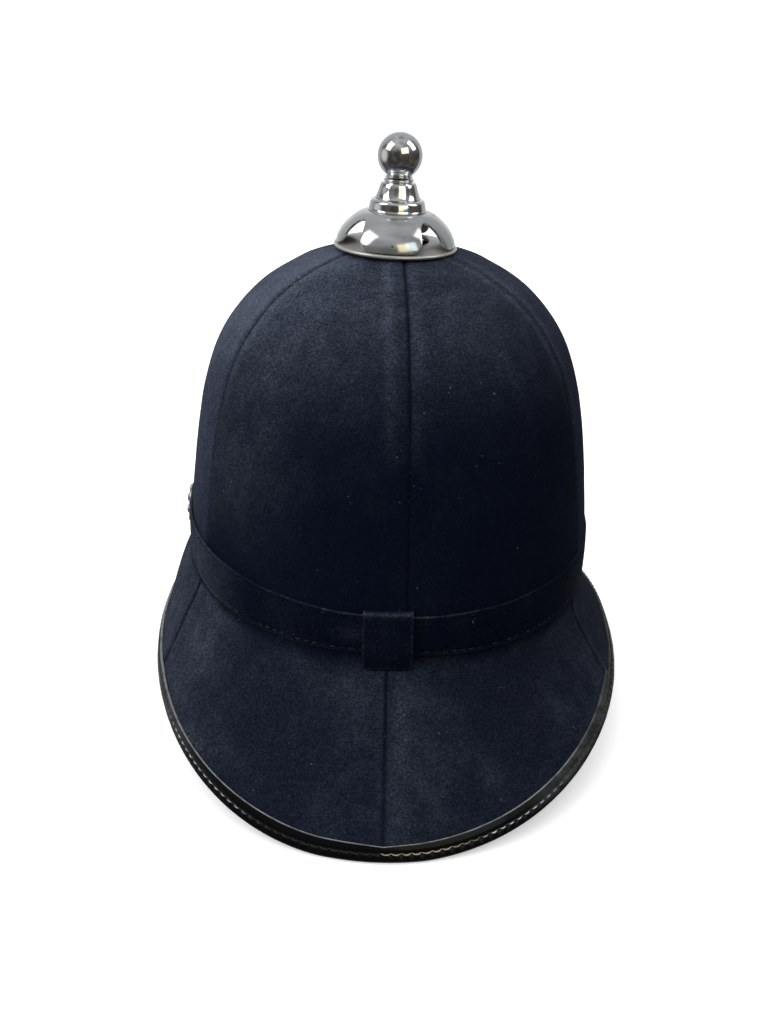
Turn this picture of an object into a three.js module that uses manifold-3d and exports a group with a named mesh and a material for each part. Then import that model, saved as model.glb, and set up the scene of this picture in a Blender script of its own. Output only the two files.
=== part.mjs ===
// Custodian helmet: a six-panel cloth crown on a back and a front peak, each peak edged with a
// leather binding, a cloth band with a keeper loop at the back, a rosette on each side and a
// plated ball on a four-legged vent at the top.
// Millimetres, +Z up, the back towards -Y, the rim of both peaks resting on z = 0.
// Angles run in degrees round the helmet from the back towards +X.

import * as THREE from 'three';
import { mergeVertices } from 'three/addons/utils/BufferGeometryUtils.js';
import Module from 'manifold-3d';

const CLEARANCE = 0.3;

// Crown: cloth panels of equal girth from under the band up to the vent. The cover, the vent and
// the rosettes sit turned a little on the brim, as on a helmet that was shaped by hand.
const CROWN_WALL = 3;
const CROWN_ROWS = 11;
const PANEL_COLUMNS = 6;
const SEAM_FOLD = 2.4;
const SEAM_DIP = 0.8;
const CROWN_TURN = 3.2;
const BACK_SEAM_SHIFT = 2.2;
const PANELS = [
  { name: 'back_right', from: 0, to: 62 },
  { name: 'right', from: 62, to: 118 },
  { name: 'front_right', from: 118, to: 180 },
  { name: 'front_left', from: 180, to: 242 },
  { name: 'left', from: 242, to: 298 },
  { name: 'back_left', from: 298, to: 360 },
];
const CROWN_SECTIONS = [
  { height: 80, halfWidth: 96.4, lengthRatio: 1.2 },
  { height: 95, halfWidth: 96.2, lengthRatio: 1.19 },
  { height: 126, halfWidth: 92.8, lengthRatio: 1.165 },
  { height: 154, halfWidth: 88, lengthRatio: 1.13 },
  { height: 177.5, halfWidth: 79.3, lengthRatio: 1.09 },
  { height: 196, halfWidth: 64.5, lengthRatio: 1.05 },
  { height: 207.5, halfWidth: 47.3, lengthRatio: 1.02 },
  { height: 213.8, halfWidth: 31, lengthRatio: 1 },
  { height: 216.2, halfWidth: 20, lengthRatio: 1 },
];

// Peaks: from a root hidden by the band, down and out to the rim.
const PEAK_WALL = 2.4;
const PEAK_ROWS = 6;
const PEAK_KNEE_BELOW_BAND = 0.3;
const PEAK_KNEE_PINCH_SHARE = 0.4;
const PEAK_TURN_DROP = 10;
const PEAK_LEFT_TURN_RISE = 8;
const PEAK_LEFT_POWER = 4;
const PEAK_STRAIGHT_SHARE = 0.4;
const RIM_HALF_WIDTH = 113.2;
const BACK_REACH = 158;
const FRONT_REACH = 151;
const RIM_POWER = 2.32;
const RIM_EDGE_HEIGHT = 1.7;
const RIM_SIDE_LIFT = 27;
const RIM_LIFT_POWER = 1.5;
const RIM_FLAT_SHARE = 0.18;
const PEAKS = [
  { name: 'back', middle: 0, rootHalfAngle: 62, rimHalfAngle: 68, columns: 22 },
  { name: 'front', middle: 180, rootHalfAngle: 118, rimHalfAngle: 112, columns: 34 },
];

// Binding: leather folded over the rim of each peak.
const BINDING_LEATHER = 1;
const BINDING_WIDTH = 6.5;
const LIP_SHOULDER_PAST = 0.75;
const LIP_SHOULDER_RISE = 0.4;

// Band and its keeper loop at the back, which pinches the band. The band sits a little lower on
// the right.
const BAND_WIDTH = 22;
const BAND_PINCH = 5.4;
const BAND_PINCH_SPREAD = 30;
const BAND_CLOTH = 1;
const BAND_CROWNING = 0.3;
const BAND_TOP = 89.9;
const BAND_SIDE_RISE = 1.4;
const BAND_TILT = 3.3;
const BAND_COLUMNS = 60;
const KEEPER_WIDTH = 20;
const KEEPER_CLOTH = 1.5;
const KEEPER_FOOT = 67.2;
const KEEPER_CHIN = 75;
const KEEPER_TOP = 92.8;
const KEEPER_FOOT_STANDOFF = 1.3;
const KEEPER_CHIN_STANDOFF = 3;
const KEEPER_TOP_STANDOFF = 0.1;
const KEEPER_COLUMNS = 4;

// Rosettes: one on the band at each side, a little forward of the middle.
const ROSETTE_ANGLE = 96;
const ROSETTE_RADIUS = 11;
const ROSETTE_RIM = 1;
const ROSETTE_EDGE = 0.4;
const ROSETTE_DOME = 1.6;
const ROSETTE_DOME_RADIUS = 6.6;
const ROSETTE_BOSS_RADIUS = 3.2;
const ROSETTE_SIDES = 24;
const BOSS_SIDES = 12;
const BOSS_FLATNESS = 0.5;
const PETAL_SIDES = 8;
const PETAL_COUNT = 8;
const PETAL_RADIUS = 2.9;
const PETAL_HALF_WIDTH = 2.5;
const PETAL_RISE = 1.3;
const PETAL_CIRCLE = 7.2;

// Vent and ball: plated metal on the axis of the crown, leaning a little to the right. Heights are
// above the vent's foot.
const ROUND_SIDES = 28;
const VENT_FOOT = 215.4;
const VENT_TWIST = -9;
const VENT_LEAN = 1.6;
const LEG_COUNT = 4;
const ARCH_HALF_WIDTH = 6.3;
const ARCH_HEIGHT = 13;
const ARCH_FOOT = 1.6;
const ARCH_SKIRT = 1;
const ARCH_STEPS = 10;
const ARCH_INNER_RADIUS = 12;
const ARCH_OUTER_RADIUS = 34;
const PLATE_PROFILE = [
  { radius: 15, height: 2.9 },
  { radius: 20, height: 2.3 },
  { radius: 26, height: 0.9 },
  { radius: 27.5, height: 0.6 },
  { radius: 28.1, height: 1.4 },
  { radius: 27.6, height: 2.3 },
  { radius: 26.3, height: 2.2 },
  { radius: 20, height: 3.5 },
  { radius: 15, height: 4.1 },
];
const DOME_PROFILE = [
  { radius: 25.9, height: 3 },
  { radius: 27.1, height: 3 },
  { radius: 26.2, height: 6 },
  { radius: 24.1, height: 9.6 },
  { radius: 20.9, height: 13 },
  { radius: 17.4, height: 15.6 },
  { radius: 13.6, height: 17 },
  { radius: 4.4, height: 17.4 },
  { radius: 4.4, height: 16.2 },
  { radius: 13.4, height: 15.8 },
  { radius: 16.9, height: 14.5 },
  { radius: 20, height: 12.1 },
  { radius: 23, height: 9 },
  { radius: 25, height: 5.7 },
];
const COLLAR_PROFILE = [
  { radius: 4.4, height: 17.8 },
  { radius: 12.9, height: 17.8 },
  { radius: 13.2, height: 18.3 },
  { radius: 11.8, height: 20.8 },
  { radius: 10.9, height: 21.7 },
  { radius: 9.8, height: 22 },
  { radius: 4.4, height: 22 },
];
const STEM_PROFILE = [
  { radius: 0, height: 13.6 },
  { radius: 3.6, height: 13.6 },
  { radius: 4, height: 14.1 },
  { radius: 4, height: 22.3 },
  { radius: 8.9, height: 22.3 },
  { radius: 9, height: 22.9 },
  { radius: 6.8, height: 30 },
  { radius: 6.5, height: 30.8 },
  { radius: 5.8, height: 31.2 },
  { radius: 0, height: 31.2 },
];
const BALL_RADIUS = 9.85;
const BALL_HEIGHT = 40.9;
const BALL_NECK_RADIUS = 5.3;
const BALL_STEPS = 10;
const BALL_FOOT = STEM_PROFILE.at(-1).height + CLEARANCE;

const CLOTH = { color: 0x1b1d2a, roughness: 0.95, metalness: 0 };
const LEATHER = { color: 0x121214, roughness: 0.35, metalness: 0 };
const PLATED = { color: 0xc4c8cc, roughness: 0.12, metalness: 1 };

const PROBE = 1e-3;
const EDGE_PROBE = 0.02;
const MERGE_DISTANCE = 1e-4;

const radians = THREE.MathUtils.degToRad;
const lerp = THREE.MathUtils.lerp;
const FOOT = CROWN_SECTIONS[0];

const wasm = await Module();
wasm.setup();

// The crown's axis lies a little forward of the middle of the length.
const helmet = new THREE.Group();
const pieces = new THREE.Group();
pieces.position.y = (BACK_REACH - FRONT_REACH) / 2;
helmet.add(pieces);

function addPiece(name, geometry, finish, group = pieces) {
  const mesh = new THREE.Mesh(geometry, new THREE.MeshStandardMaterial(finish));
  mesh.name = name;
  group.add(mesh);
  return mesh;
}

// A closed wall between two grids of points. Rows run up the outside and columns towards a larger
// angle. A ring joins its last column to its first.
function wall(outer, inner, ring = false) {
  const rows = outer.length;
  const columns = outer[0].length;
  const points = [...outer.flat(), ...inner.flat()];
  const out = (row, column) => row * columns + (column % columns);
  const inn = (row, column) => rows * columns + out(row, column);
  const index = [];
  const quad = (a, b, c, d) => index.push(a, b, c, a, c, d);
  const spans = ring ? columns : columns - 1;
  for (let row = 0; row < rows - 1; row += 1) {
    for (let column = 0; column < spans; column += 1) {
      const next = column + 1;
      quad(out(row, column), out(row, next), out(row + 1, next), out(row + 1, column));
      quad(inn(row, column), inn(row + 1, column), inn(row + 1, next), inn(row, next));
    }
    if (!ring) {
      const last = columns - 1;
      quad(out(row, 0), out(row + 1, 0), inn(row + 1, 0), inn(row, 0));
      quad(out(row, last), inn(row, last), inn(row + 1, last), out(row + 1, last));
    }
  }
  const top = rows - 1;
  for (let column = 0; column < spans; column += 1) {
    const next = column + 1;
    quad(out(0, column), inn(0, column), inn(0, next), out(0, next));
    quad(out(top, column), out(top, next), inn(top, next), inn(top, column));
  }
  const geometry = new THREE.BufferGeometry().setFromPoints(points);
  geometry.setIndex(index);
  geometry.computeVertexNormals();
  return geometry;
}

// Numbers from first to last in equal steps, both ends included.
function steps(first, last, count) {
  return Array.from({ length: count + 1 }, (_, i) => lerp(first, last, i / count));
}

// Outward direction of a surface that runs up with its first argument and round with its second.
function outward(surface, up, round) {
  const rise = surface(up + PROBE, round).sub(surface(up - PROBE, round));
  const turn = surface(up, round + PROBE).sub(surface(up, round - PROBE));
  return turn.cross(rise).normalize();
}

// An ellipse round the foot of the crown, moved out by a standoff.
function footPoint(angle, height, standoff) {
  const halfWidth = FOOT.halfWidth + standoff;
  const halfLength = FOOT.halfWidth * FOOT.lengthRatio + standoff;
  return new THREE.Vector3(halfWidth * Math.sin(angle), -halfLength * Math.cos(angle), height);
}

// Width of the band, from the keeper's pinch at the back.
function bandWidth(angle) {
  const fromBack = THREE.MathUtils.radToDeg(Math.acos(Math.cos(angle)));
  return BAND_WIDTH - BAND_PINCH * Math.exp(-fromBack / BAND_PINCH_SPREAD);
}

// Height of the band's lower edge.
function bandFoot(angle) {
  const top = BAND_TOP + BAND_SIDE_RISE * Math.sin(angle) ** 2 - BAND_TILT * Math.sin(angle);
  return top - bandWidth(angle);
}

// Turns plain geometry into one closed indexed mesh without repeated points or empty triangles.
function closed(geometry) {
  const bare = geometry.clone();
  bare.deleteAttribute('normal');
  bare.deleteAttribute('uv');
  const merged = mergeVertices(bare, MERGE_DISTANCE);
  const kept = [];
  const { array } = merged.index;
  for (let i = 0; i < array.length; i += 3) {
    const [a, b, c] = array.slice(i, i + 3);
    if (a !== b && b !== c && c !== a) kept.push(a, b, c);
  }
  merged.setIndex(kept);
  return merged;
}

function solidOf(geometry) {
  const mesh = closed(geometry);
  return new wasm.Manifold(new wasm.Mesh({
    numProp: 3,
    vertProperties: new Float32Array(mesh.attributes.position.array),
    triVerts: new Uint32Array(mesh.index.array),
  }));
}

function geometryOf(solid) {
  const { vertProperties, triVerts } = solid.getMesh();
  const geometry = new THREE.BufferGeometry();
  geometry.setAttribute('position', new THREE.BufferAttribute(vertProperties, 3));
  geometry.setIndex(new THREE.BufferAttribute(triVerts, 1));
  geometry.computeVertexNormals();
  return geometry;
}

// A turned piece from a profile of radius and height, about the Z axis.
function turned(profile, sides = ROUND_SIDES) {
  const outline = profile.map(({ radius, height }) => new THREE.Vector2(radius, height));
  if (profile[0].radius > 0) outline.push(outline[0].clone());
  return closed(new THREE.LatheGeometry(outline, sides).rotateX(Math.PI / 2));
}

// Crown panels
const crownCurve = new THREE.SplineCurve(
  CROWN_SECTIONS.map(({ halfWidth, height }) => new THREE.Vector2(halfWidth, height)),
);

function lengthRatioAt(height) {
  const above = CROWN_SECTIONS.findIndex((section) => section.height >= height);
  const high = CROWN_SECTIONS[above < 0 ? CROWN_SECTIONS.length - 1 : Math.max(above, 1)];
  const low = CROWN_SECTIONS[CROWN_SECTIONS.indexOf(high) - 1];
  const share = (height - low.height) / (high.height - low.height);
  return lerp(low.lengthRatio, high.lengthRatio, THREE.MathUtils.clamp(share, 0, 1));
}

function crownPoint(up, angle) {
  const { x: halfWidth, y: height } = crownCurve.getPoint(THREE.MathUtils.clamp(up, 0, 1));
  const halfLength = halfWidth * lengthRatioAt(height);
  return new THREE.Vector3(halfWidth * Math.sin(angle), -halfLength * Math.cos(angle), height);
}

// Angles across a panel at one height. The first and last lie at the seams and the next ones
// at the foot of the fold that dips into each seam.
function panelAngles({ from, to }, halfWidth) {
  const seam = (at) => radians(at + CROWN_TURN) + Number(at % 360 === 0) * BACK_SEAM_SHIFT / halfWidth;
  const start = seam(from) + CLEARANCE / 2 / halfWidth;
  const end = seam(to) - CLEARANCE / 2 / halfWidth;
  const fold = SEAM_FOLD / halfWidth;
  return [start, ...steps(start + fold, end - fold, PANEL_COLUMNS), end];
}

function crownPanel(panel) {
  const outer = [];
  const inner = [];
  for (const up of steps(0, 1, CROWN_ROWS)) {
    const angles = panelAngles(panel, crownCurve.getPoint(up).x);
    const last = angles.length - 1;
    const depth = (i, full) => (full ? CROWN_WALL : Number(i === 0 || i === last) * SEAM_DIP);
    const row = (full) => angles.map((angle, i) => crownPoint(up, angle)
      .addScaledVector(outward(crownPoint, up, angle), -depth(i, full)));
    outer.push(row(false));
    inner.push(row(true));
  }
  return wall(outer, inner);
}

for (const panel of PANELS) {
  addPiece(`crown_panel_${panel.name}`, crownPanel(panel), CLOTH);
}

// Peaks and their bindings
function rimPoint(angle) {
  const spread = (part, reach) => Math.sign(part) * reach * Math.abs(part) ** (2 / RIM_POWER);
  const across = Math.sin(angle);
  const along = -Math.cos(angle);
  const lift = Math.max(0, (Math.abs(across) - RIM_FLAT_SHARE) / (1 - RIM_FLAT_SHARE));
  return new THREE.Vector3(
    spread(across, RIM_HALF_WIDTH),
    spread(along, along < 0 ? BACK_REACH : FRONT_REACH),
    RIM_EDGE_HEIGHT + RIM_SIDE_LIFT * lift ** RIM_LIFT_POWER,
  );
}

// The outer face of a peak. Up runs from 0 at the rim to 1 at the knee just below the band, then
// straight up to 2 at the root that the band hides. Round runs from -1 to 1.
function peakSurface({ middle, rootHalfAngle, rimHalfAngle }) {
  return (up, round) => {
    const rootAngle = radians(middle + round * rootHalfAngle);
    const pinch = BAND_WIDTH - bandWidth(rootAngle);
    const kneeHeight = bandFoot(rootAngle) - PEAK_KNEE_BELOW_BAND - pinch * PEAK_KNEE_PINCH_SHARE;
    const knee = footPoint(rootAngle, kneeHeight, 0);
    if (up > 1) return knee.lerp(footPoint(rootAngle, FOOT.height - CLEARANCE, 0), up - 1);
    const rim = rimPoint(radians(middle + round * rimHalfAngle));
    const leftward = Math.max(0, -Math.sin(rootAngle)) ** PEAK_LEFT_POWER;
    const drop = PEAK_TURN_DROP - PEAK_LEFT_TURN_RISE * leftward;
    const turn = footPoint(rootAngle, kneeHeight - drop, 0);
    const straight = rim.clone().lerp(turn, PEAK_STRAIGHT_SHARE);
    return new THREE.CubicBezierCurve3(rim, straight, turn, knee).getPoint(up);
  };
}

function peakRounds({ rootHalfAngle, columns }) {
  const end = 1 - CLEARANCE / 2 / FOOT.halfWidth / radians(rootHalfAngle);
  return steps(-end, end, columns);
}

function peakWall(peak) {
  const surface = peakSurface(peak);
  const rounds = peakRounds(peak);
  const ups = [...steps(0, 1, PEAK_ROWS), 2];
  const rows = (depth) => ups.map((up) => rounds.map((round) => surface(up, round)
    .addScaledVector(outward(surface, up, round), -depth)));
  return wall(rows(0), rows(PEAK_WALL));
}

// The binding's section against the edge of the peak: past is beyond the edge, above is off the
// outer face. The path runs from the underside, round the lip and on to the outer face.
function bindingPath(depth) {
  const lip = CLEARANCE + depth;
  const under = -PEAK_WALL - lip;
  return [
    { past: -BINDING_WIDTH, above: under },
    { past: 0, above: under },
    { past: lip * LIP_SHOULDER_PAST, above: -PEAK_WALL - lip * LIP_SHOULDER_RISE },
    { past: lip, above: -PEAK_WALL / 2 },
    { past: lip * LIP_SHOULDER_PAST, above: lip * LIP_SHOULDER_RISE },
    { past: 0, above: lip },
    { past: -BINDING_WIDTH, above: lip },
  ];
}

function binding(peak) {
  const surface = peakSurface(peak);
  const rounds = peakRounds(peak);
  const rows = (depth) => bindingPath(depth).map(({ past, above }) => rounds.map((round) => {
    const edge = surface(0, round);
    const beyond = edge.clone().sub(surface(EDGE_PROBE, round)).normalize();
    const point = edge.clone().addScaledVector(beyond, past)
      .addScaledVector(outward(surface, 0, round), above);
    point.z = Math.max(point.z, 0);
    return point;
  }));
  return wall(rows(BINDING_LEATHER), rows(0));
}

for (const peak of PEAKS) {
  addPiece(`${peak.name}_peak`, peakWall(peak), CLOTH);
  addPiece(`${peak.name}_binding`, binding(peak), LEATHER);
}

// Band and keeper
function band() {
  const angles = steps(0, 2 * Math.PI, BAND_COLUMNS).slice(0, -1);
  const rows = (standoffs) => standoffs.map((standoff, i) => angles.map((angle) => footPoint(
    angle,
    bandFoot(angle) + (bandWidth(angle) * i) / (standoffs.length - 1),
    standoff,
  )));
  const face = CLEARANCE + BAND_CLOTH;
  return wall(rows([face, face + BAND_CROWNING, face]), rows([CLEARANCE, CLEARANCE, CLEARANCE]), true);
}

function keeper() {
  const face = 2 * CLEARANCE + BAND_CLOTH + BAND_CROWNING;
  const half = KEEPER_WIDTH / 2 / FOOT.halfWidth;
  const angles = steps(-half, half, KEEPER_COLUMNS);
  const path = (depth) => [
    { standoff: KEEPER_FOOT_STANDOFF, height: KEEPER_FOOT + depth },
    { standoff: KEEPER_CHIN_STANDOFF - depth, height: KEEPER_FOOT + depth },
    { standoff: face + KEEPER_CLOTH - depth, height: KEEPER_CHIN },
    { standoff: face + KEEPER_CLOTH - depth, height: KEEPER_TOP - depth },
    { standoff: KEEPER_TOP_STANDOFF, height: KEEPER_TOP - depth },
  ];
  const rows = (depth) => path(depth).map(({ standoff, height }) => (
    angles.map((angle) => footPoint(angle, height, standoff))));
  return wall(rows(0), rows(KEEPER_CLOTH));
}

addPiece('hat_band', band(), CLOTH);
addPiece('band_keeper', keeper(), CLOTH);

// Rosettes: a rimmed disc with a ring of petals round a boss, its back towards the band
function rosette() {
  const disc = turned([
    { radius: 0, height: 0 },
    { radius: ROSETTE_RADIUS - ROSETTE_EDGE, height: 0 },
    { radius: ROSETTE_RADIUS, height: ROSETTE_RIM / 2 },
    { radius: ROSETTE_RADIUS - ROSETTE_EDGE, height: ROSETTE_RIM },
    { radius: ROSETTE_DOME_RADIUS, height: ROSETTE_DOME },
    { radius: 0, height: ROSETTE_DOME },
  ], ROSETTE_SIDES);
  let solid = solidOf(disc);
  for (let i = 0; i < PETAL_COUNT; i += 1) {
    const angle = (i * 2 * Math.PI) / PETAL_COUNT;
    const petal = new THREE.SphereGeometry(1, PETAL_SIDES, PETAL_SIDES / 2).rotateX(Math.PI / 2)
      .scale(PETAL_RADIUS, PETAL_HALF_WIDTH, PETAL_RISE)
      .translate(PETAL_CIRCLE, 0, PETAL_RISE + CLEARANCE / 2)
      .rotateZ(angle);
    solid = solid.add(solidOf(petal));
  }
  const boss = new THREE.SphereGeometry(ROSETTE_BOSS_RADIUS, BOSS_SIDES, BOSS_SIDES / 2)
    .rotateX(Math.PI / 2).scale(1, 1, BOSS_FLATNESS).translate(0, 0, ROSETTE_DOME);
  return geometryOf(solid.add(solidOf(boss)));
}

for (const side of [{ name: 'left', sign: -1 }, { name: 'right', sign: 1 }]) {
  const angle = radians(side.sign * ROSETTE_ANGLE + CROWN_TURN);
  const middle = bandFoot(angle) + bandWidth(angle) / 2;
  const standoff = 2 * CLEARANCE + BAND_CLOTH + BAND_CROWNING;
  const seat = (height, round) => footPoint(round, height, standoff);
  const facing = outward(seat, middle, angle);
  const mesh = addPiece(`side_rosette_${side.name}`, rosette(), PLATED);
  mesh.position.copy(seat(middle, angle));
  mesh.quaternion.setFromUnitVectors(new THREE.Vector3(0, 0, 1), facing);
}

// Vent and ball
function archCutter() {
  const arch = new THREE.Shape();
  arch.moveTo(ARCH_HALF_WIDTH, -ARCH_SKIRT);
  arch.absellipse(0, 0, ARCH_HALF_WIDTH, ARCH_HEIGHT, 0, Math.PI, false, 0);
  arch.lineTo(-ARCH_HALF_WIDTH, -ARCH_SKIRT);
  arch.closePath();
  return new THREE.ExtrudeGeometry(arch, {
    depth: ARCH_OUTER_RADIUS - ARCH_INNER_RADIUS,
    bevelEnabled: false,
    curveSegments: ARCH_STEPS,
  }).rotateX(Math.PI / 2).translate(0, -ARCH_INNER_RADIUS, ARCH_FOOT);
}

function ventDome() {
  let solid = solidOf(turned(DOME_PROFILE));
  for (let i = 0; i < LEG_COUNT; i += 1) {
    const turn = ((i + 0.5) * 2 * Math.PI) / LEG_COUNT;
    solid = solid.subtract(solidOf(archCutter().rotateZ(turn)));
  }
  return geometryOf(solid);
}

function ballProfile() {
  const neck = Math.asin(BALL_NECK_RADIUS / BALL_RADIUS);
  const arc = steps(Math.PI - neck, 0, BALL_STEPS).map((polar) => ({
    radius: BALL_RADIUS * Math.sin(polar),
    height: BALL_HEIGHT + BALL_RADIUS * Math.cos(polar),
  }));
  arc.at(-1).radius = 0;
  return [{ radius: 0, height: BALL_FOOT }, { radius: BALL_NECK_RADIUS, height: BALL_FOOT }, ...arc];
}

const vent = new THREE.Group();
vent.position.z = VENT_FOOT;
vent.rotation.set(0, radians(VENT_LEAN), radians(CROWN_TURN + VENT_TWIST));
pieces.add(vent);

addPiece('vent_plate', turned(PLATE_PROFILE), PLATED, vent);
addPiece('vent_dome', ventDome(), PLATED, vent);
addPiece('finial_collar', turned(COLLAR_PROFILE), PLATED, vent);
addPiece('finial_stem', turned(STEM_PROFILE), PLATED, vent);
addPiece('finial_ball', turned(ballProfile()), PLATED, vent);

export default helmet;
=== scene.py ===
"""Dresses a custodian helmet: cloth crown and peaks, leather bindings, band, rosettes and plated vent."""

import bisect
import functools
import math
from typing import NamedTuple

import bmesh
import bpy
from bpy.props import FloatProperty, FloatVectorProperty, IntProperty, PointerProperty
from bpy.types import Operator, Panel, PropertyGroup
from mathutils import Matrix, Vector, noise


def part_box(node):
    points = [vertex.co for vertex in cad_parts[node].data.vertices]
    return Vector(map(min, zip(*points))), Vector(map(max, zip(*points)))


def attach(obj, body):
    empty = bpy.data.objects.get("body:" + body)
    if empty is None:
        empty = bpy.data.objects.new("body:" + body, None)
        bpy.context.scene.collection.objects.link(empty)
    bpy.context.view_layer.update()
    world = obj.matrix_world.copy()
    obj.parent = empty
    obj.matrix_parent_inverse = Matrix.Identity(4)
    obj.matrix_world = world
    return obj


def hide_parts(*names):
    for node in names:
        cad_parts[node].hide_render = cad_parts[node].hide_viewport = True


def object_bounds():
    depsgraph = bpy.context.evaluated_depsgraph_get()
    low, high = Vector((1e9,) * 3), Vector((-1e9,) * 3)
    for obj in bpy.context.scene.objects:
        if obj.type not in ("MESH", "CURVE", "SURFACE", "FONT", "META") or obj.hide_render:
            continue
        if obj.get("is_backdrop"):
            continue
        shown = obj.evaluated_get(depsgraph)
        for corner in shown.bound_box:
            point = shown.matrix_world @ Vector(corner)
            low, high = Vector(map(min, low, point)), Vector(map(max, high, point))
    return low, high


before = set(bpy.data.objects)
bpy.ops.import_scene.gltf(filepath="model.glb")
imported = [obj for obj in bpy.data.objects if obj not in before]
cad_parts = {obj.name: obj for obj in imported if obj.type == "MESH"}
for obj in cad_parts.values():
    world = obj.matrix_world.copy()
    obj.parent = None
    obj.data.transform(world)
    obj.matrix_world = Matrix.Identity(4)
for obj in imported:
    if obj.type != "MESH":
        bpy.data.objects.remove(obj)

bl_info = {
    "name": "Custodian Helmet",
    "version": (1, 0, 0),
    "blender": (4, 5, 0),
    "location": "3D View > Sidebar > Helmet",
    "description": "Cloth, leather, thread and plate for a custodian helmet",
    "category": "Object",
}

CAD_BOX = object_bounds()
BODY = "root"
MM = 0.001
TINY = 1e-4

# The crown's axis stands in the middle of the band.
BAND_LOW, BAND_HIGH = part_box("hat_band")
AXIS = Vector(((BAND_LOW.x + BAND_HIGH.x) / 2, (BAND_LOW.y + BAND_HIGH.y) / 2, 0))


def lerp(first, last, at):
    return first + (last - first) * at


def smooth_step(low, high, value):
    """Runs smoothly from 0 to 1 as a value runs from low to high."""
    at = min(max((value - low) / (high - low), 0.0), 1.0)
    return at * at * (3 - 2 * at)


def hump(value, reach):
    """One at zero, falling smoothly to nothing a few reaches away."""
    return math.exp(-((value / reach) ** 2))


class Section(NamedTuple):
    """The crown's outline at one height, in millimetres."""

    height: float
    half_width: float
    length_ratio: float


class Sector(NamedTuple):
    """A stretch of the crown between two seams, in degrees from the back towards +X."""

    name: str
    start: float
    end: float
    faded: bool


class Peak(NamedTuple):
    """A peak's middle, its half angles at the band and at the rim, in degrees, and the faces across it."""

    name: str
    middle: float
    root_half_angle: float
    rim_half_angle: float
    columns: int


class Turning(NamedTuple):
    """A point on a turned profile, in millimetres."""

    radius: float
    height: float


class Ramp(NamedTuple):
    """An amount that comes in smoothly as a value runs from start to full."""

    amount: float
    start: float
    full: float

    def at(self, value):
        return self.amount * smooth_step(self.start, self.full, value)


class Stretch(NamedTuple):
    """An amount that comes in from start to full and goes again from fading to gone."""

    amount: float
    start: float
    full: float
    fading: float
    gone: float

    def at(self, value):
        here = smooth_step(self.start, self.full, value) * (1 - smooth_step(self.fading, self.gone, value))
        return self.amount * here


class Spot(NamedTuple):
    """An amount at a middle, which fades over a reach to both sides."""

    amount: float
    middle: float
    reach: float

    def at(self, value):
        return self.amount * hump(value - self.middle, self.reach)


CROWN_SECTIONS = (
    Section(80.0, 96.4, 1.2),
    Section(95.0, 96.2, 1.19),
    Section(126.0, 92.8, 1.165),
    Section(154.0, 88.0, 1.13),
    Section(177.5, 79.3, 1.09),
    Section(196.0, 64.5, 1.05),
    Section(207.5, 47.3, 1.02),
    Section(213.8, 31.0, 1.0),
    Section(216.2, 20.0, 1.0),
)
SECTORS = (
    Sector("back_right", 0, 62, False),
    Sector("right", 62, 118, True),
    Sector("front_right", 118, 180, False),
    Sector("front_left", 180, 242, False),
    Sector("left", 242, 298, True),
    Sector("back_left", 298, 360, False),
)
PEAKS = (
    Peak("back", 0, 63.5, 70, 150),
    Peak("front", 180, 116.5, 110, 200),
)
# The keeper's loop: how far off the crown's foot and how high it runs, in millimetres.
KEEPER_LOOP = (
    (1.0, 66.0), (1.7, 64.9), (2.3, 65.0), (2.6, 66.6), (3.4, 70.2), (4.1, 75.0),
    (3.7, 81.0), (3.3, 86.0), (3.1, 90.6), (2.5, 92.4), (1.4, 92.8), (0.4, 92.4),
)
PLATE_PROFILE = (
    Turning(15.0, 2.9), Turning(20.0, 2.3), Turning(26.0, 0.9), Turning(27.5, 0.6),
    Turning(28.1, 1.4), Turning(27.6, 2.3), Turning(26.3, 2.2), Turning(20.0, 3.5),
    Turning(15.0, 4.1),
)
DOME_PROFILE = (
    Turning(27.1, 3.0), Turning(26.2, 6.0), Turning(24.1, 9.6), Turning(20.9, 13.0),
    Turning(17.4, 15.6), Turning(13.6, 17.0), Turning(9.0, 17.4), Turning(4.4, 17.4),
)
COLLAR_PROFILE = (
    Turning(4.4, 17.3), Turning(13.1, 17.1), Turning(13.3, 17.5), Turning(13.0, 17.9),
    Turning(12.8, 18.6), Turning(12.4, 20.8), Turning(12.2, 21.3), Turning(11.8, 21.8),
    Turning(11.2, 22.15), Turning(10.7, 22.3), Turning(4.4, 22.3),
)
STEM_PROFILE = (
    Turning(0.0, 13.6), Turning(3.6, 13.6), Turning(4.0, 14.1), Turning(4.0, 22.3),
    Turning(10.2, 22.3), Turning(10.3, 22.7), Turning(10.0, 23.1), Turning(9.2, 25.0),
    Turning(8.5, 27.2), Turning(8.0, 28.8), Turning(7.7, 29.25), Turning(7.0, 29.4),
    Turning(6.2, 29.5), Turning(6.1, 29.75), Turning(6.7, 30.1), Turning(6.8, 30.45),
    Turning(6.7, 30.8), Turning(6.1, 31.1), Turning(6.0, 31.2), Turning(0.0, 31.2),
)
# The ring at the ball's foot, outside its neck and above the stem.
NECK_RING = (Turning(0.4, 0), Turning(0.8, 0.2), Turning(0.5, 0.45), Turning(0, 0.6))
NECK_GAP = 0.3

# Wear of the crown and painted light on its far left, by height in metres or by how far left a point lies,
# from -1 to 1, and painted shadow just above the band, by height over its top.
TOP_WEAR = Ramp(0.285, 0.148, 0.212)
TOP_LEFT_WEAR = Ramp(0.07, 0.148, 0.212)
LEFT_WEAR = Ramp(0.22, 0.25, 0.9)
LEFT_WEAR_RISE = Ramp(1, 0.085, 0.15)
# Painted light: the crown's far left is paler, standing in for sheen and the light from that side.
FAR_LEFT_PAINTED_LIGHT = Ramp(0.28, 0.78, 1)
SEAM_WEAR = Ramp(0.2, 0.14, 0.2)
SEAM_CLEAN = 0.7
# Painted shadow: the crown is kept darker just above the band, as if its edge shaded it.
PAINTED_SHADE_ABOVE_BAND = Ramp(1, 0.5 * MM, 4.5 * MM)

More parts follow.
